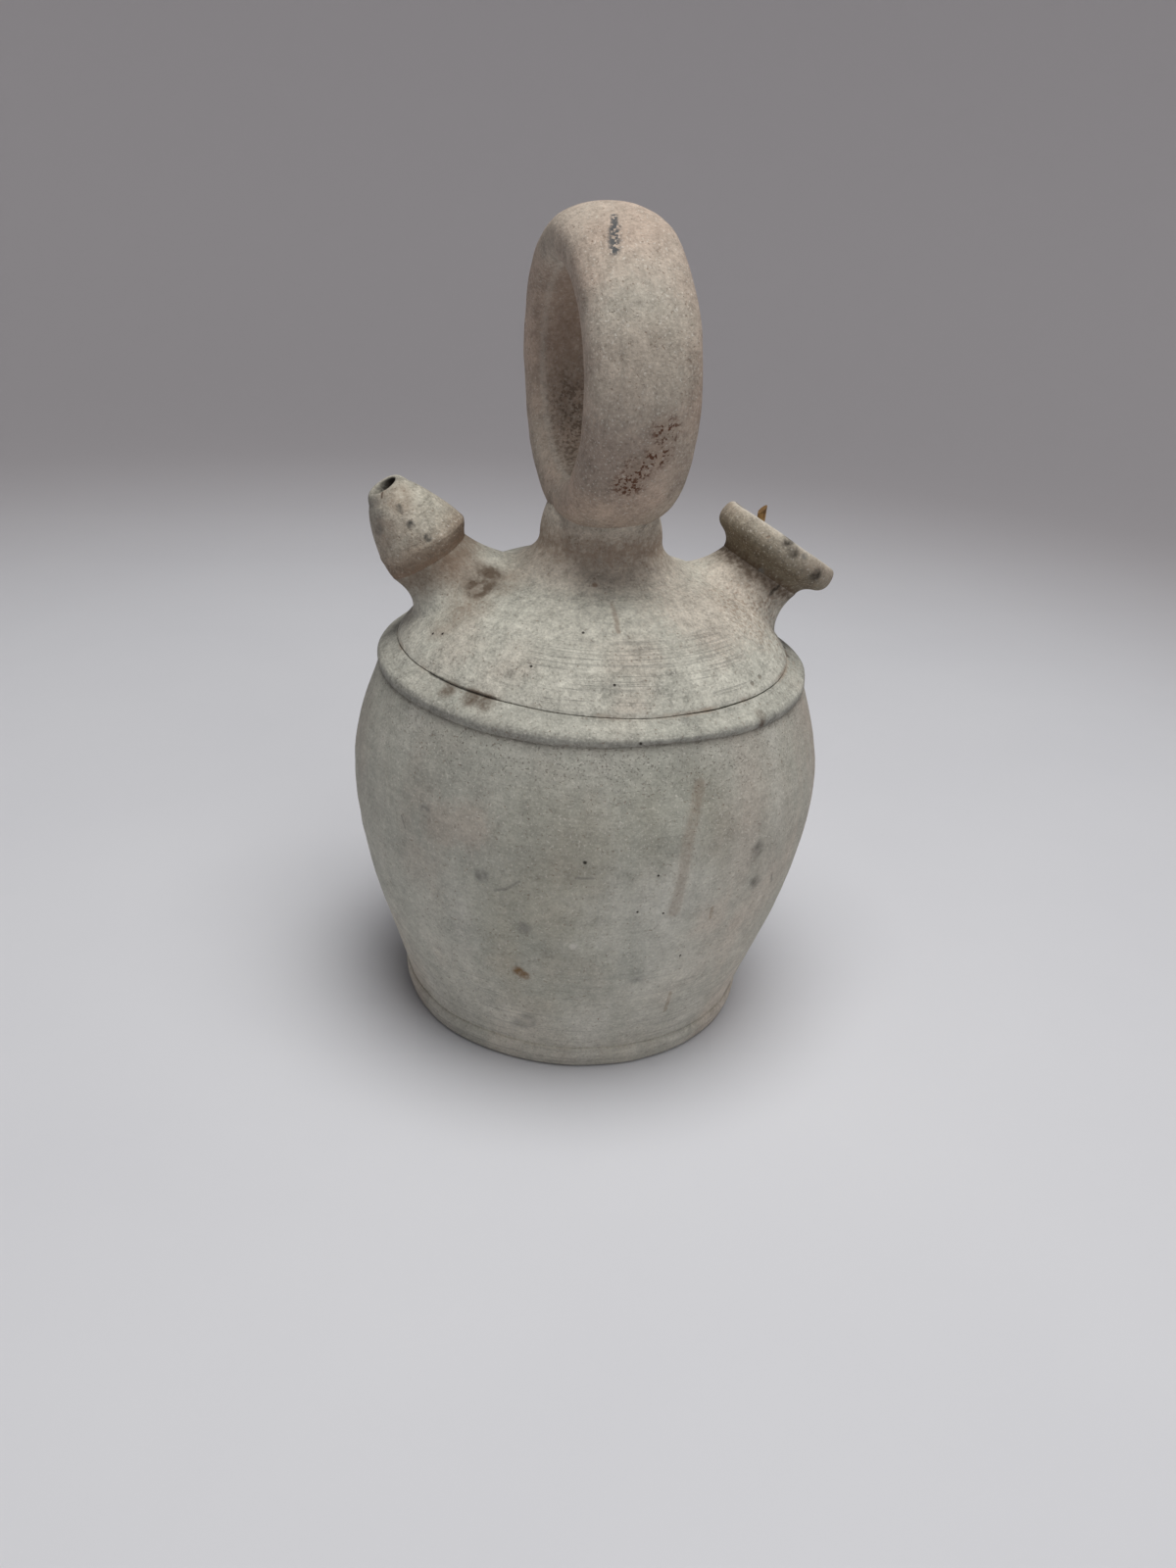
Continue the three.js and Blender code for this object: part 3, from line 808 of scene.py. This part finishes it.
class Finish:
    """A material in the making, measured in millimetres: colour and relief are laid on layer by layer.

    Its heart is the point inside the piece that a mark on the skin lies straight out from.
    """

    def __init__(self, name, base, gloss, heart=None):
        self.material = bpy.data.materials.new(name)
        self.material.use_nodes = True
        self.skin = self.material.node_tree.nodes["Principled BSDF"]
        self.skin.inputs["Specular IOR Level"].default_value = gloss
        self.tools = Shade(self.material.node_tree)
        metres = self.tools.node("TexCoord", output="Object")
        self.place = self.scaled(metres, 1 / MM)
        self.x, self.y, self.z = [
            self.tools.node("SeparateXYZ", sockets={0: self.place}, output=axis) for axis in "XYZ"
        ]
        self.heart = heart
        self.fray = self.cloud(1.6, 4, seed=40) - 0.5
        self.colour = base
        self.roughness = 0.9
        self.relief = 0.0

    def scaled(self, vector, amount):
        """A vector or colour, made longer or shorter."""
        return self.tools.node("VectorMath", {"operation": "SCALE"}, {0: vector, "Scale": amount})

    def moved(self, vector, step):
        """The sum of two vectors."""
        return self.tools.node("VectorMath", {"operation": "ADD"}, {0: vector, 1: step})

    def measure(self, operation, first, second):
        """A Vector Math node that gives a number."""
        sockets = {0: first, 1: second}
        return self.tools.node("VectorMath", {"operation": operation}, sockets, output="Value")

    def cloud(self, size, detail, seed, place=None):
        """Noise with grains of a size, from 0 to 1 and about 0.5 in the middle."""
        sockets = {"Vector": place or self.place, "W": seed, "Scale": 1 / size, "Detail": detail}
        return self.tools.node("TexNoise", {"noise_dimensions": "4D"}, sockets)

    def lay(self, colour, share):
        """Lays a colour over a share of the surface."""
        sockets = {0: share, 6: self.colour, 7: colour}
        self.colour = self.tools.node("Mix", {"data_type": "RGBA"}, sockets, output=2)

    def tone(self, amount):
        """Makes the colour lighter or darker, 1 being as it is."""
        self.colour = self.scaled(self.colour, amount)

    def grime_and_painted_light(self, colour, where, amount):
        """Lays a colour that catches in the grit, whole in the middle and broken up towards its edge:
        dirt, and in places painted shade or a painted highlight.
        """
        broken = (where + self.fray * 2.4 - 0.3).fade(0.0, 1.0)
        self.lay(colour, (broken * 0.7 + 0.3) * where * amount)

    def rise(self, height):
        """Adds to the relief, in millimetres."""
        self.relief = height + self.relief

    def away(self, point):
        """The distance from a point."""
        return self.measure("DISTANCE", self.place, point)

    def stroke(self, start, end):
        """The distance from a straight stroke."""
        run = Vector(end) - Vector(start)
        step = run / run.length_squared
        share = (self.measure("DOT_PRODUCT", self.place, step) - Vector(start).dot(step)).held()
        return self.away(self.moved(self.scaled(run, share), start))

    def through(self, point):
        """The distance from a line that goes straight through the skin at a point."""
        out = (Vector(point) - self.heart(Vector(point))).normalized() * SKIN_DEPTH
        return self.stroke(Vector(point) - out, Vector(point) + out)

    def spot(self, point, radius, ragged):
        """1 at a point of the skin, fading out at a radius whose edge may be ragged."""
        away = self.through(point)
        if ragged:
            away = away + self.fray * ragged
        return away.fade(radius, radius * SPOT_CORE)

    def stain(self, colour, points, radius, amount):
        """Lays a patchy stain of dirt around some points, darkest in its middle."""
        near = self.spots(points, radius * 1.8, radius * 0.8)
        patchy = self.cloud(radius * 2.4, 5, seed=41).fade(0.35, 0.65)
        self.lay(colour, near * (patchy * 0.6 + self.fray * 1.2 + 0.35) * amount)

    def spots(self, points, radius, ragged=0.0):
        """Several spots of one size."""
        first, *others = [self.spot(point, radius, ragged) for point in points]
        return first.most(*others)

    def smear(self, points, width, ragged):
        """1 along a line of points, fading out at a width whose edge may be ragged."""
        strokes = [self.stroke(start, end) + self.fray * ragged for start, end in zip(points, points[1:])]
        first, *others = [away.fade(width, width * SMEAR_CORE) for away in strokes]
        return first.most(*others)

    def along(self, neck):
        """The height above a neck's base, on its axis."""
        axis = neck.col[2].xyz
        return self.measure("DOT_PRODUCT", self.place, axis) - neck.translation.dot(axis)

    def reach(self, neck):
        """The distance from a neck's axis."""
        height = self.along(neck)
        away = self.away(neck.translation)
        return self.tools.math("SQRT", (away * away - height * height).most(0.0))

    def circle(self, neck, radius, height):
        """The distance from a circle around a neck's axis."""
        side = self.reach(neck) - radius
        up = self.along(neck) - height
        return self.tools.math("SQRT", side * side + up * up)

    def fired(self):
        """The finished material."""
        tree = self.material.node_tree
        tree.links.new(self.colour.socket, self.skin.inputs["Base Color"])
        tree.links.new(self.roughness.socket, self.skin.inputs["Roughness"])
        bump = self.tools.node("Bump", sockets={"Height": self.relief, "Distance": MM, "Strength": 1.0})
        tree.links.new(bump.socket, self.skin.inputs["Normal"])
        return self.material


def jug_heart(point):
    return Vector((0, 0, min(point.z, HEART_HEIGHT)))


def ring_heart(point):
    spoke = Vector((0, point.y, point.z - RING_MIDDLE.z)).normalized()
    return RING_MIDDLE + spoke * RING_CORE


def neck_heart(neck):
    axis = neck.col[2].xyz
    return lambda point: neck.translation + axis * axis.dot(point - neck.translation)


def bare_clay(name, base, heart, across, tints_and_shade, sage, buff, grit=1.0):
    """Unglazed clay: tinted and painted with shade in places, clouded, gritty, and lined by the wheel
    across a measure.
    """
    clay = Finish(name, base, 0.15, heart)
    clay.lay(SAGE, clay.cloud(46, 3, seed=1).fade(0.42, 0.62) * sage)
    clay.lay(BUFF, clay.cloud(34, 4, seed=2).fade(0.48, 0.68) * buff)
    for colour, share in tints_and_shade(clay):
        clay.lay(colour, share)
    around = clay.tools.node("CombineXYZ", sockets={0: clay.x * 0.03, 1: clay.y * 0.03, 2: across(clay)})
    clay.lines = clay.cloud(1.0, 3, seed=3, place=around)
    bands = clay.cloud(5.0, 2, seed=4, place=around)
    mottle = clay.cloud(9.0, 5, seed=5)
    grain = clay.cloud(0.8, 3, seed=6)
    patches = (mottle - 0.5) * 0.6 + (clay.cloud(3.2, 4, seed=9) - 0.5) * 0.7
    rings = (clay.lines - 0.5) * 0.24 + (bands - 0.5) * 0.2
    clay.tone(1.0 + (patches + rings + (grain - 0.5) * 0.9) * grit)
    dark = clay.cloud(0.8, 3, seed=7).fade(0.6, 0.74)
    pale = clay.cloud(0.8, 3, seed=8).fade(0.56, 0.72)
    clay.lay(UMBER, dark * 0.6)
    clay.lay(CHALK, pale * 0.55)
    clay.rise(clay.lines * 0.12 + grain * (0.24 * grit) + mottle * 0.4 - dark * 0.15)
    clay.roughness = 0.84 + grain * 0.14
    return clay


def pinholes(clay, points, radius=0.6):
    """Small holes that the escaping air left."""
    hole = clay.spots(points, radius)
    clay.lay(HOLE, hole * 0.9)
    clay.rise(hole * -0.5)


def sunk(clay, height):
    """A height on the shoulder, lowered as the clay has settled there."""
    drop = 0.0
    for place, reach, spread, depth in SETTLED:
        level = eased(1 - abs(height - place.z) / spread)
        drop = clay.away(place).fade(reach, 0) * (depth * level) + drop
    return height - drop


def belly_tints_and_shade(clay):
    yield SAGE, clay.x.fade(20, -80) * 0.2
    yield SAND, clay.x.fade(10, 75) * 0.45
    yield BUFF, clay.x.fade(12, 40) * 0.25
    yield SAND, clay.z.fade(60, 12) * 0.5
    # Olive patches on the front left: painted shade.
    shaded = [(-30, -74, 96), (-38, -70, 70), (-30, -66, 46), (6, -81, 104)]
    yield OLIVE, clay.spots(shaded, 30, 24) * 0.4
    # Ash towards the top, under the band: painted shade.
    yield ASH, clay.z.fade(60, 125) * 0.3
    washed = clay.tools.node("CombineXYZ", sockets={0: clay.x, 1: clay.y, 2: clay.z * 0.3})
    yield SAGE, clay.cloud(22, 3, seed=10, place=washed).fade(0.4, 0.62) * 0.6
    yield CHALK, clay.cloud(20, 3, seed=11, place=washed).fade(0.5, 0.7) * 0.3
    yield BUFF, clay.spots([(-61.8, -53.6, 96.1), (-54.5, -60.6, 99.2)], 11, 9) * 0.28


def belly_clay():
    clay = bare_clay("belly_clay", CREAM, jug_heart, lambda skin: skin.z, belly_tints_and_shade,
                     sage=0.5, buff=0.35, grit=0.75)
    scored = clay.lines.fade(0.5, 0.66) * clay.z.fade(70, 30)
    clay.lay(ASH, scored * 0.3)
    # Soil in the groove under the band: dirt, and painted shade in the crease.
    groove = clay.circle(UPRIGHT, BELLY_TOP_RADIUS, sunk(clay, GROOVE))
    clay.grime_and_painted_light(SOIL_AND_SHADE, groove.fade(3.5, 0.2) * 0.75, 0.4)
    pores = clay.cloud(0.7, 3, seed=12).fade(0.58, 0.7) * clay.z.fade(104, 124)
    clay.lay(SOIL_AND_SHADE, pores * 0.4)
    clay.rise(pores * -0.2)
    streak = clay.smear([(14.5, -75.7, 116), (10.8, -80.8, 99.1), (9.0, -80.1, 73.6)], 4.0, 3.0)
    clay.grime_and_painted_light(UMBER, streak, 0.4)
    trickle = clay.smear([(23.3, -76.6, 71.4), (23.6, -76.2, 66.8)], 1.3, 1.4)
    drip = clay.smear([(15.2, -68.7, 34.1), (15.4, -65.5, 24.5)], 1.4, 2.0)
    clay.grime_and_painted_light(OCHRE, trickle.most(drip), 0.45)
    clay.stain(SLATE, [(38.4, -72.2, 89.2), (40.2, -70.2, 75.3)], 2.5, 0.6)
    clay.stain(ASH, [(-37.5, -69.5, 65.4), (-50.4, -63.8, 82.8), (-65.9, -47.9, 98.3)], 2.0, 0.8)
    clay.stain(ASH, [(-33.1, -56.4, 18.4), (-31.4, -58.4, 20.6), (0.7, -74.2, 45.8)], 2.6, 0.7)
    clay.stain(OCHRE, [(-37.0, -64.2, 45.6), (-35.2, -64.8, 44.0)], 1.7, 1.0)
    crescent = clay.spot((-22.1, -75.0, 60.2), 2.0, 1.2)
    clay.lay(CHALK, crescent * 0.5)
    clay.rise(crescent * -0.35)
    first, *others = [
        clay.smear([(-71.9, -39.0, 92.5), (-71.0, -40.8, 89.0)], 0.8, 0.5),
        clay.smear([(-46.5, -66.3, 78.5), (-43.5, -68.9, 80.0), (-39.9, -70.9, 83.8)], 0.8, 0.8),
        clay.smear([(-23.7, -78.3, 87.6), (-18.4, -79.5, 87.9)], 0.7, 0.6),
        clay.smear([(48.4, -64.3, 74.4), (49.6, -63.2, 71.6)], 0.9, 0.5),
    ]
    clay.lay(ASH, first.most(*others) * 0.5)
    pinholes(clay, [(-21.5, -79.0, 93.4)], 0.8)
    small = [(15.0, -74.5, 52.6), (-3.5, -80.7, 74.8), (5.3, -80.3, 73.3), (1.8, -81.7, 88.3)]
    pinholes(clay, small, 0.5)
    return clay.fired()


def dome_tints_and_shade(clay):
    flushed = [(38.6, -26.4, 155.8), (27.0, -35.0, 157.0), (50.0, -12.0, 157.0)]
    yield BUFF, clay.spots(flushed, 24, 20) * 0.35
    yield SAGE, clay.z.fade(138, 136) * 0.4
    # Ash on the band, and more on its lower half where it turns under: painted shade.
    yield ASH, clay.z.fade(138, 136) * 0.3
    yield ASH, clay.z.fade(133, 129) * 0.35
    yield BLUSH, clay.reach(UPRIGHT).fade(36, 24) * 0.45


def dome_clay():
    clay = bare_clay("dome_clay", CREAM, jug_heart, lambda skin: skin.reach(UPRIGHT) - skin.z, dome_tints_and_shade,
                     sage=0.5, buff=0.3, grit=1.3)
    coarse = clay.spots([(46, -24, 152), (56, -20, 145)], 22, 10)
    grit = clay.cloud(1.4, 3, seed=17)
    clay.lay(UMBER, coarse * grit.fade(0.48, 0.62) * 0.55)
    clay.rise(coarse * grit * 0.7)
    front = clay.spots([(0, -56, 146), (24, -52, 146), (-24, -52, 146)], 20, 10)
    scored = clay.lines.fade(0.5, 0.64) * front
    clay.lay(ASH, scored * 0.45)
    clay.rise(scored * -0.1)
    seam = clay.circle(UPRIGHT, SEAM_RADIUS, sunk(clay, DOME_SEAT))
    open_seam = clay.cloud(14, 3, seed=13).fade(0.42, 0.62)
    clay.lay(UMBER, seam.fade(1.5, 0.2) * open_seam * 0.6)
    crack = clay.smear([(-60.9, -28.9, 136.9), (-53.9, -40.9, 136.9), (-46.4, -49.0, 136.9)], 4.0, 3.0)
    clay.lay(HOLE, (seam + clay.fray * 0.6).fade(0.9, 0.2) * crack * 0.75)
    clay.stain(SOIL_AND_SHADE, [(-57.2, -37.6, 135.9), (-51.7, -45.3, 135.6), (-48.1, -49.4, 135.3)], 2.6, 0.9)
    gap = clay.spots([(64.9, -20.2, 135.4), (66.0, -12.0, 135.6)], 2.4, 2)
    clay.grime_and_painted_light(HOLE, gap * seam.fade(2.5, 1), 0.8)
    # Soil along the groove under the band: dirt, and painted shade in the crease.
    groove = clay.circle(UPRIGHT, BELLY_TOP_RADIUS, sunk(clay, GROOVE))
    clay.grime_and_painted_light(SOIL_AND_SHADE, groove.fade(2.0, 0.2) * clay.cloud(18, 3, seed=14).fade(0.3, 0.6), 0.5)
    clay.stain(UMBER, [(-44.7, -5.1, 160.6), (-36.3, -8.6, 160.3), (-47.0, -14.0, 155.0)], 7, 0.6)
    clay.stain(UMBER, [(-56.0, -14.0, 152.0), (-50.0, -10.0, 156.0)], 6, 0.5)
    blotch = clay.spots([(-38.9, -5.3, 162.6), (-41.0, -8.0, 160.8), (-43.5, -8.5, 159.6)], 6.5, 4)
    patchy = clay.cloud(4.0, 5, seed=42).fade(0.4, 0.58)
    clay.lay(SOIL_AND_SHADE, blotch * (patchy * 0.45 + 0.45))
    clay.stain(SOIL_AND_SHADE, [(38.3, -61.5, 132.3), (38.8, -63.3, 130.2)], 1.6, 0.9)
    clay.grime_and_painted_light(ASH, clay.spot((10.6, -68.7, 134.9), 2.0, 1.0), 0.6)
    clay.lay(UMBER, clay.spot((-8.6, -25.8, 165.4), 1.4, 0.4) * 0.8)
    scrape = clay.smear([(-4.9, -33.4, 161.9), (-5.3, -40.1, 158.8), (-5.9, -45.8, 156.0)], 1.3, 1.2)
    clay.lay(UMBER, scrape * 0.5)
    nick = clay.smear([(38.8, -49.5, 144.9), (38.6, -50.9, 143.5), (39.4, -52.0, 142.4)], 1.0, 0.8)
    chip = nick.most(clay.spots([(38.9, -53.8, 139.9), (42.8, -50.4, 140.8)], 1.1, 1.2) * 0.6)
    clay.lay(SOIL_AND_SHADE, chip * 0.9)
    clay.rise(chip * -0.4)
    # Umber and soil around the roots of the spout and the mouth: dirt, and painted shade in the creases.
    clay.grime_and_painted_light(UMBER, clay.circle(SPOUT, SPOUT_NECK, SPOUT_COLLAR - 1).fade(13, 0), 0.7)
    clay.lay(SOIL_AND_SHADE, clay.circle(SPOUT, SPOUT_NECK, SPOUT_COLLAR - 2).fade(10, 0) * 0.4)
    clay.grime_and_painted_light(SOIL_AND_SHADE, clay.circle(FILLER, FILLER_NECK, FILLER_COLLAR - 1).fade(8, 0), 0.9)
    clay.grime_and_painted_light(HOLE, clay.spot((59.4, -13.1, 156.7), 1.3, 0.8), 0.8)
    # Umber around the pedestal's waist: dirt, and the ring's painted shadow.
    clay.grime_and_painted_light(UMBER, clay.circle(UPRIGHT, PEDESTAL_RADIUS, PEDESTAL_WAIST).fade(14, 0), 0.7)
    small = [(-59.6, -15.1, 146.2), (-57.1, -18.9, 147.5), (-34.5, -49.6, 147.2),
             (-16.8, -44.3, 155.5), (-10.7, -61.9, 145.0), (-5.1, -74.3, 130.4)]
    pinholes(clay, small)
    return clay.fired()


def spout_tints_and_shade(clay):
    # The nozzle darker down towards its ridge and the neck under it: painted shade.
    yield UMBER, clay.along(SPOUT).fade(NOZZLE_SEAT + 12, NOZZLE_SEAT + 4) * 0.5
    yield SOIL_AND_SHADE, clay.along(SPOUT).fade(NOZZLE_SEAT + 7, NOZZLE_SEAT + 2) * 0.35
    yield ASH, clay.x.fade(-66, -76) * 0.35


def spout_clay():
    clay = bare_clay("spout_clay", DUN, neck_heart(SPOUT), lambda skin: skin.along(SPOUT), spout_tints_and_shade,
                     sage=0.6, buff=0.2, grit=1.5)
    # Umber where the nozzle sits on its collar: dirt, and painted shade in the crease.
    foot = clay.circle(SPOUT, SPOUT_NECK + 0.5, NOZZLE_SEAT)
    clay.grime_and_painted_light(UMBER, foot.fade(9, 0), 0.9)
    clay.stain(UMBER, [(-70.0, 7.0, 174.0), (-64.0, 2.0, 172.0), (-68.0, 8.0, 184.0)], 4.5, 0.6)
    clay.stain(ASH, [(-73.9, 12.5, 181.3), (-72.7, 10.0, 178.4), (-72.4, 9.3, 174.7)], 2.0, 0.6)
    clay.stain(SLATE, [(-66.7, 6.5, 181.2), (-63.6, 3.0, 176.8), (-58.6, -0.3, 173.2)], 1.1, 1.0)
    fissure = clay.smear([(-71.5, 11.2, 185.9), (-71.7, 10.0, 183.6)], 0.6, 0.4)
    split = clay.smear([(-70.9, 8.5, 180.4), (-67.4, 6.6, 180.9)], 0.7, 0.6)
    clay.lay(SOIL_AND_SHADE, fissure.most(split) * 0.8)
    # The drinking hole's inside painted near black: painted shade.
    hole = clay.reach(SPOUT).fade(NOZZLE_HOLE + 0.5, NOZZLE_HOLE - 0.2)
    clay.lay(HOLE, hole)
    return clay.fired()


def mouth_shade(clay):
    # The flange darker from below its lip down to its neck, with a dark ring in the bell's hollow: painted
    # shade.
    yield OLIVE, clay.along(FILLER).fade(FLANGE_SEAT + 13, FLANGE_SEAT + 4) * 0.7
    yield SOIL_AND_SHADE, clay.along(FILLER).fade(FLANGE_SEAT + 14, FLANGE_SEAT + 5) * 0.5
    radius, height = FLANGE_BELL
    yield SOIL_AND_SHADE, clay.circle(FILLER, radius, FLANGE_SEAT + height).fade(4, 0) * 0.4


def mouth_clay():
    # Dun, darker than the body's cream, is partly painted shade here.
    clay = bare_clay("mouth_clay", DUN, neck_heart(FILLER), lambda skin: skin.along(FILLER), mouth_shade,
                     sage=0.5, buff=0.2, grit=1.2)
    # Soil in the crease under the flange: dirt, and painted shade.
    clay.grime_and_painted_light(SOIL_AND_SHADE, clay.circle(FILLER, FILLER_NECK, FLANGE_SEAT).fade(7, 0), 0.9)
    # A pale line along the top of the rim: painted highlight.
    lip = clay.circle(FILLER, FLANGE_LIP, FLANGE_SEAT + FLANGE_HEIGHT)
    clay.grime_and_painted_light(CHALK, lip.fade(2.6, 0.4), 0.6)
    clay.stain(HOLE, [(60.8, -17.4, 175.5), (61.5, -19.3, 172.7), (71.1, -19.2, 164.1)], 2.0, 0.95)
    clay.grime_and_painted_light(ASH, clay.spots([(65.9, -19.6, 171.0), (54.5, -11.5, 163.4)], 1.8, 1.5), 0.8)
    return clay.fired()


def ring_tints(clay):
    yield SAGE, clay.spots([(-8, -47, 245), (-8, -49, 232)], 22, 14) * 0.45
    yield ASH, clay.spots([(-10, -44, 212), (-12, -38, 204)], 14, 12) * 0.4
    yield UMBER, clay.spots([(0, -49, 232), (5, -45, 215), (2, -36, 195)], 30, 20) * 0.2


def ring_clay():
    clay = bare_clay("ring_clay", BLUSH, ring_heart, lambda skin: abs(skin.x) - skin.away(RING_MIDDLE),
                     ring_tints, sage=0.3, buff=0.5)
    streaks = clay.lines.fade(0.52, 0.68) * clay.cloud(18, 3, seed=18).fade(0.45, 0.6)
    clay.lay(ASH, streaks * 0.12)
    # Umber over the inside of the ring: painted shade.
    inside = clay.away(RING_MIDDLE).fade(RING_RADIUS - RING_THICKNESS * 0.6, RING_RADIUS - RING_THICKNESS)
    clay.grime_and_painted_light(UMBER, inside * 0.85, 0.7)
    # Pale lines along both inner edges: partly worn, partly painted highlight.
    for side in (-1, 1):
        edge = clay.circle(RING, RING_RADIUS - 0.92 * RING_THICKNESS, side * 0.42 * RING_WIDTH)
        clay.grime_and_painted_light(CHALK, edge.fade(2.4, 0.4), 0.3)
    crumbs = clay.cloud(1.2, 3, seed=19).fade(0.5, 0.6) * inside * clay.z.fade(232, 208)
    clay.lay(SOIL_AND_SHADE, crumbs * 0.6)
    clay.rise(crumbs * 0.3)
    flecks = clay.cloud(1.1, 2, seed=15).fade(0.53, 0.6)
    rusted = [(3.1, -48.7, 218.3), (1.9, -47.0, 210.8), (-3.8, -45.2, 206.0), (-5.5, -42.3, 200.9)]
    near = clay.spots(rusted, 6.5, 3)
    clay.lay(UMBER, near * 0.3)
    clay.lay(RUST, near * flecks * 0.9)
    thin = clay.smear([(-7.3, -15.7, 273.4), (-8.8, -21.8, 270.7)], 1.6, 1.4)
    wide = clay.smear([(-8.8, -21.8, 270.7), (-10.0, -26.6, 267.7), (-10.8, -30.2, 264.8)], 2.6, 1.6)
    dabs = clay.cloud(1.1, 2, seed=16).fade(0.4, 0.5)
    clay.lay(INK, thin.most(wide) * dabs * 0.85)
    return clay.fired()


def cork_bark():
    cork = Finish("cork", BARK, 0.15)
    pits = cork.cloud(1.6, 3, seed=21).fade(0.58, 0.68)
    cork.lay(BARK_PALE, cork.cloud(3.0, 3, seed=22).fade(0.45, 0.65) * 0.6)
    cork.lay(BARK_PIT, pits * 0.8)
    cork.rise(pits * -0.35 + cork.cloud(0.7, 2, seed=23) * 0.1)
    cork.roughness = 0.85 + pits * 0.1
    return cork.fired()


def peg_wood():
    wood = Finish("peg_wood", WOOD, 0.3)
    height = wood.along(in_cork())
    lengthways = wood.tools.node("CombineXYZ", sockets={0: wood.x, 1: wood.y, 2: height * 0.08})
    fibre = wood.cloud(0.7, 3, seed=24, place=lengthways)
    wood.lay(WOOD_FIBRE, fibre.fade(0.5, 0.7) * 0.7)
    wood.lay(WOOD_PALE, wood.cloud(3.0, 2, seed=25).fade(0.5, 0.7) * 0.4)
    wood.lay(WOOD_END, height.fade(PEG_LENGTH - 3.4, PEG_LENGTH - 2.2) * 0.7)
    wood.rise(fibre * 0.15)
    wood.roughness = 0.65 + fibre * 0.2
    return wood.fired()


def floor_paper():
    paper = Finish("floor_paper", PAPER, 0.1)
    paper.lay(PAPER_CLOUD, paper.cloud(120, 3, seed=31))
    paper.lay(PAPER_FAR, paper.reach(UPRIGHT).fade(380, 900))
    paper.rise(paper.cloud(60, 3, seed=32) * 0.6)
    paper.roughness = 0.9 + paper.cloud(10, 2, seed=33) * 0.05
    return paper.fired()


# Assembly


def jug():
    belly = belly_clay()
    dome = dome_clay()
    set_out("base_foot", foot_shape(), belly, "jug")
    set_out("belly_wall", belly_shape(), belly, "jug")
    set_out("shoulder_band", band_shape(), dome, "jug")
    set_out("dome", dome_shape(), dome, "jug")
    set_out("handle_pedestal", pedestal_shape(), dome, "jug")
    set_out("ring_handle", ring_shape(), ring_clay(), "jug")
    spout_root = collar_shape(SPOUT, SPOUT_NECK, SPOUT_SKIRT, SPOUT_SHIFT, SPOUT_COLLAR, SPOUT_BORE)
    set_out("spout_collar", spout_root, dome, "jug")
    set_out("spout_nozzle", nozzle_shape(), spout_clay(), "jug")
    filler_root = collar_shape(FILLER, FILLER_NECK, FILLER_SKIRT, FILLER_SHIFT, FILLER_COLLAR, FILLER_BORE)
    set_out("filler_collar", filler_root, dome, "jug")
    set_out("filler_flange", flange_shape(), mouth_clay(), "jug")
    set_out("stopper_cork", cork_shape(), cork_bark(), "stopper")
    set_out("stopper_peg", peg_shape(), peg_wood(), "stopper", crisp=15)


def stage():
    """A pale floor that turns up into a round backdrop."""
    turned = (BACKDROP_RADIUS, BACKDROP_RADIUS - FLOOR_RADIUS)
    sweep = bend((FLOOR_RADIUS, 0), (BACKDROP_RADIUS, 0), turned, 16)
    outline = [(0, 0), *sweep, (BACKDROP_RADIUS, BACKDROP_HEIGHT)]
    shape = bmesh.new()
    rim = [shape.verts.new((radius, 0, height)) for radius, height in outline]
    sides = [shape.edges.new(pair) for pair in zip(rim, rim[1:])]
    bmesh.ops.spin(shape, geom=rim + sides, cent=(0, 0, 0), axis=(0, 0, 1), angle=math.tau,
                   steps=STAGE_STEPS, use_merge=True)
    bmesh.ops.remove_doubles(shape, verts=shape.verts, dist=WELD)
    floor = as_object("floor", shape)
    floor.data.shade_smooth()
    floor.data.materials.append(floor_paper())


def area_lamp(name, place, aim, size, power, tint):
    lamp = bpy.data.lights.new(name, "AREA")
    lamp.shape = "DISK"
    lamp.size = size * MM
    lamp.energy = power
    lamp.color = tint
    holder = bpy.data.objects.new(name, lamp)
    bpy.context.scene.collection.objects.link(holder)
    holder.location = Vector(place) * MM
    holder.rotation_euler = (Vector(aim) - Vector(place)).to_track_quat("-Z", "Y").to_euler()


def studio():
    area_lamp("overhead", place=(60, -150, 1400), aim=(0, 0, 150), size=1000, power=15.6,
              tint=(1.0, 0.99, 0.975))
    area_lamp("front", place=(300, -1000, 900), aim=(0, 0, 130), size=900, power=1.6,
              tint=(1.0, 0.99, 0.98))
    world = bpy.data.worlds.new("studio")
    world.use_nodes = True
    sky = world.node_tree.nodes["Background"]
    sky.inputs["Color"].default_value = (0.92, 0.95, 1.0, 1)
    sky.inputs["Strength"].default_value = 0.05
    bpy.context.scene.world = world
    bpy.context.scene.view_settings.view_transform = "Standard"


def camera():
    """A camera where the photograph was taken from."""
    lens = bpy.data.cameras.new("camera")
    lens.lens = CAMERA_LENS
    holder = bpy.data.objects.new("camera", lens)
    bpy.context.scene.collection.objects.link(holder)
    stand = Vector((-math.sin(CAMERA_TURN), -math.cos(CAMERA_TURN), 0)) * CAMERA_DISTANCE
    stand.z = CAMERA_HEIGHT
    pan = Matrix.Rotation(-CAMERA_TURN - CAMERA_YAW, 4, "Z")
    tilt = Matrix.Rotation(math.pi / 2 - CAMERA_PITCH, 4, "X")
    roll = Matrix.Rotation(CAMERA_ROLL, 4, "Z")
    holder.matrix_world = Matrix.Translation(stand * MM) @ pan @ tilt @ roll
    bpy.context.scene.camera = holder


camera()
jug()
stage()
studio()
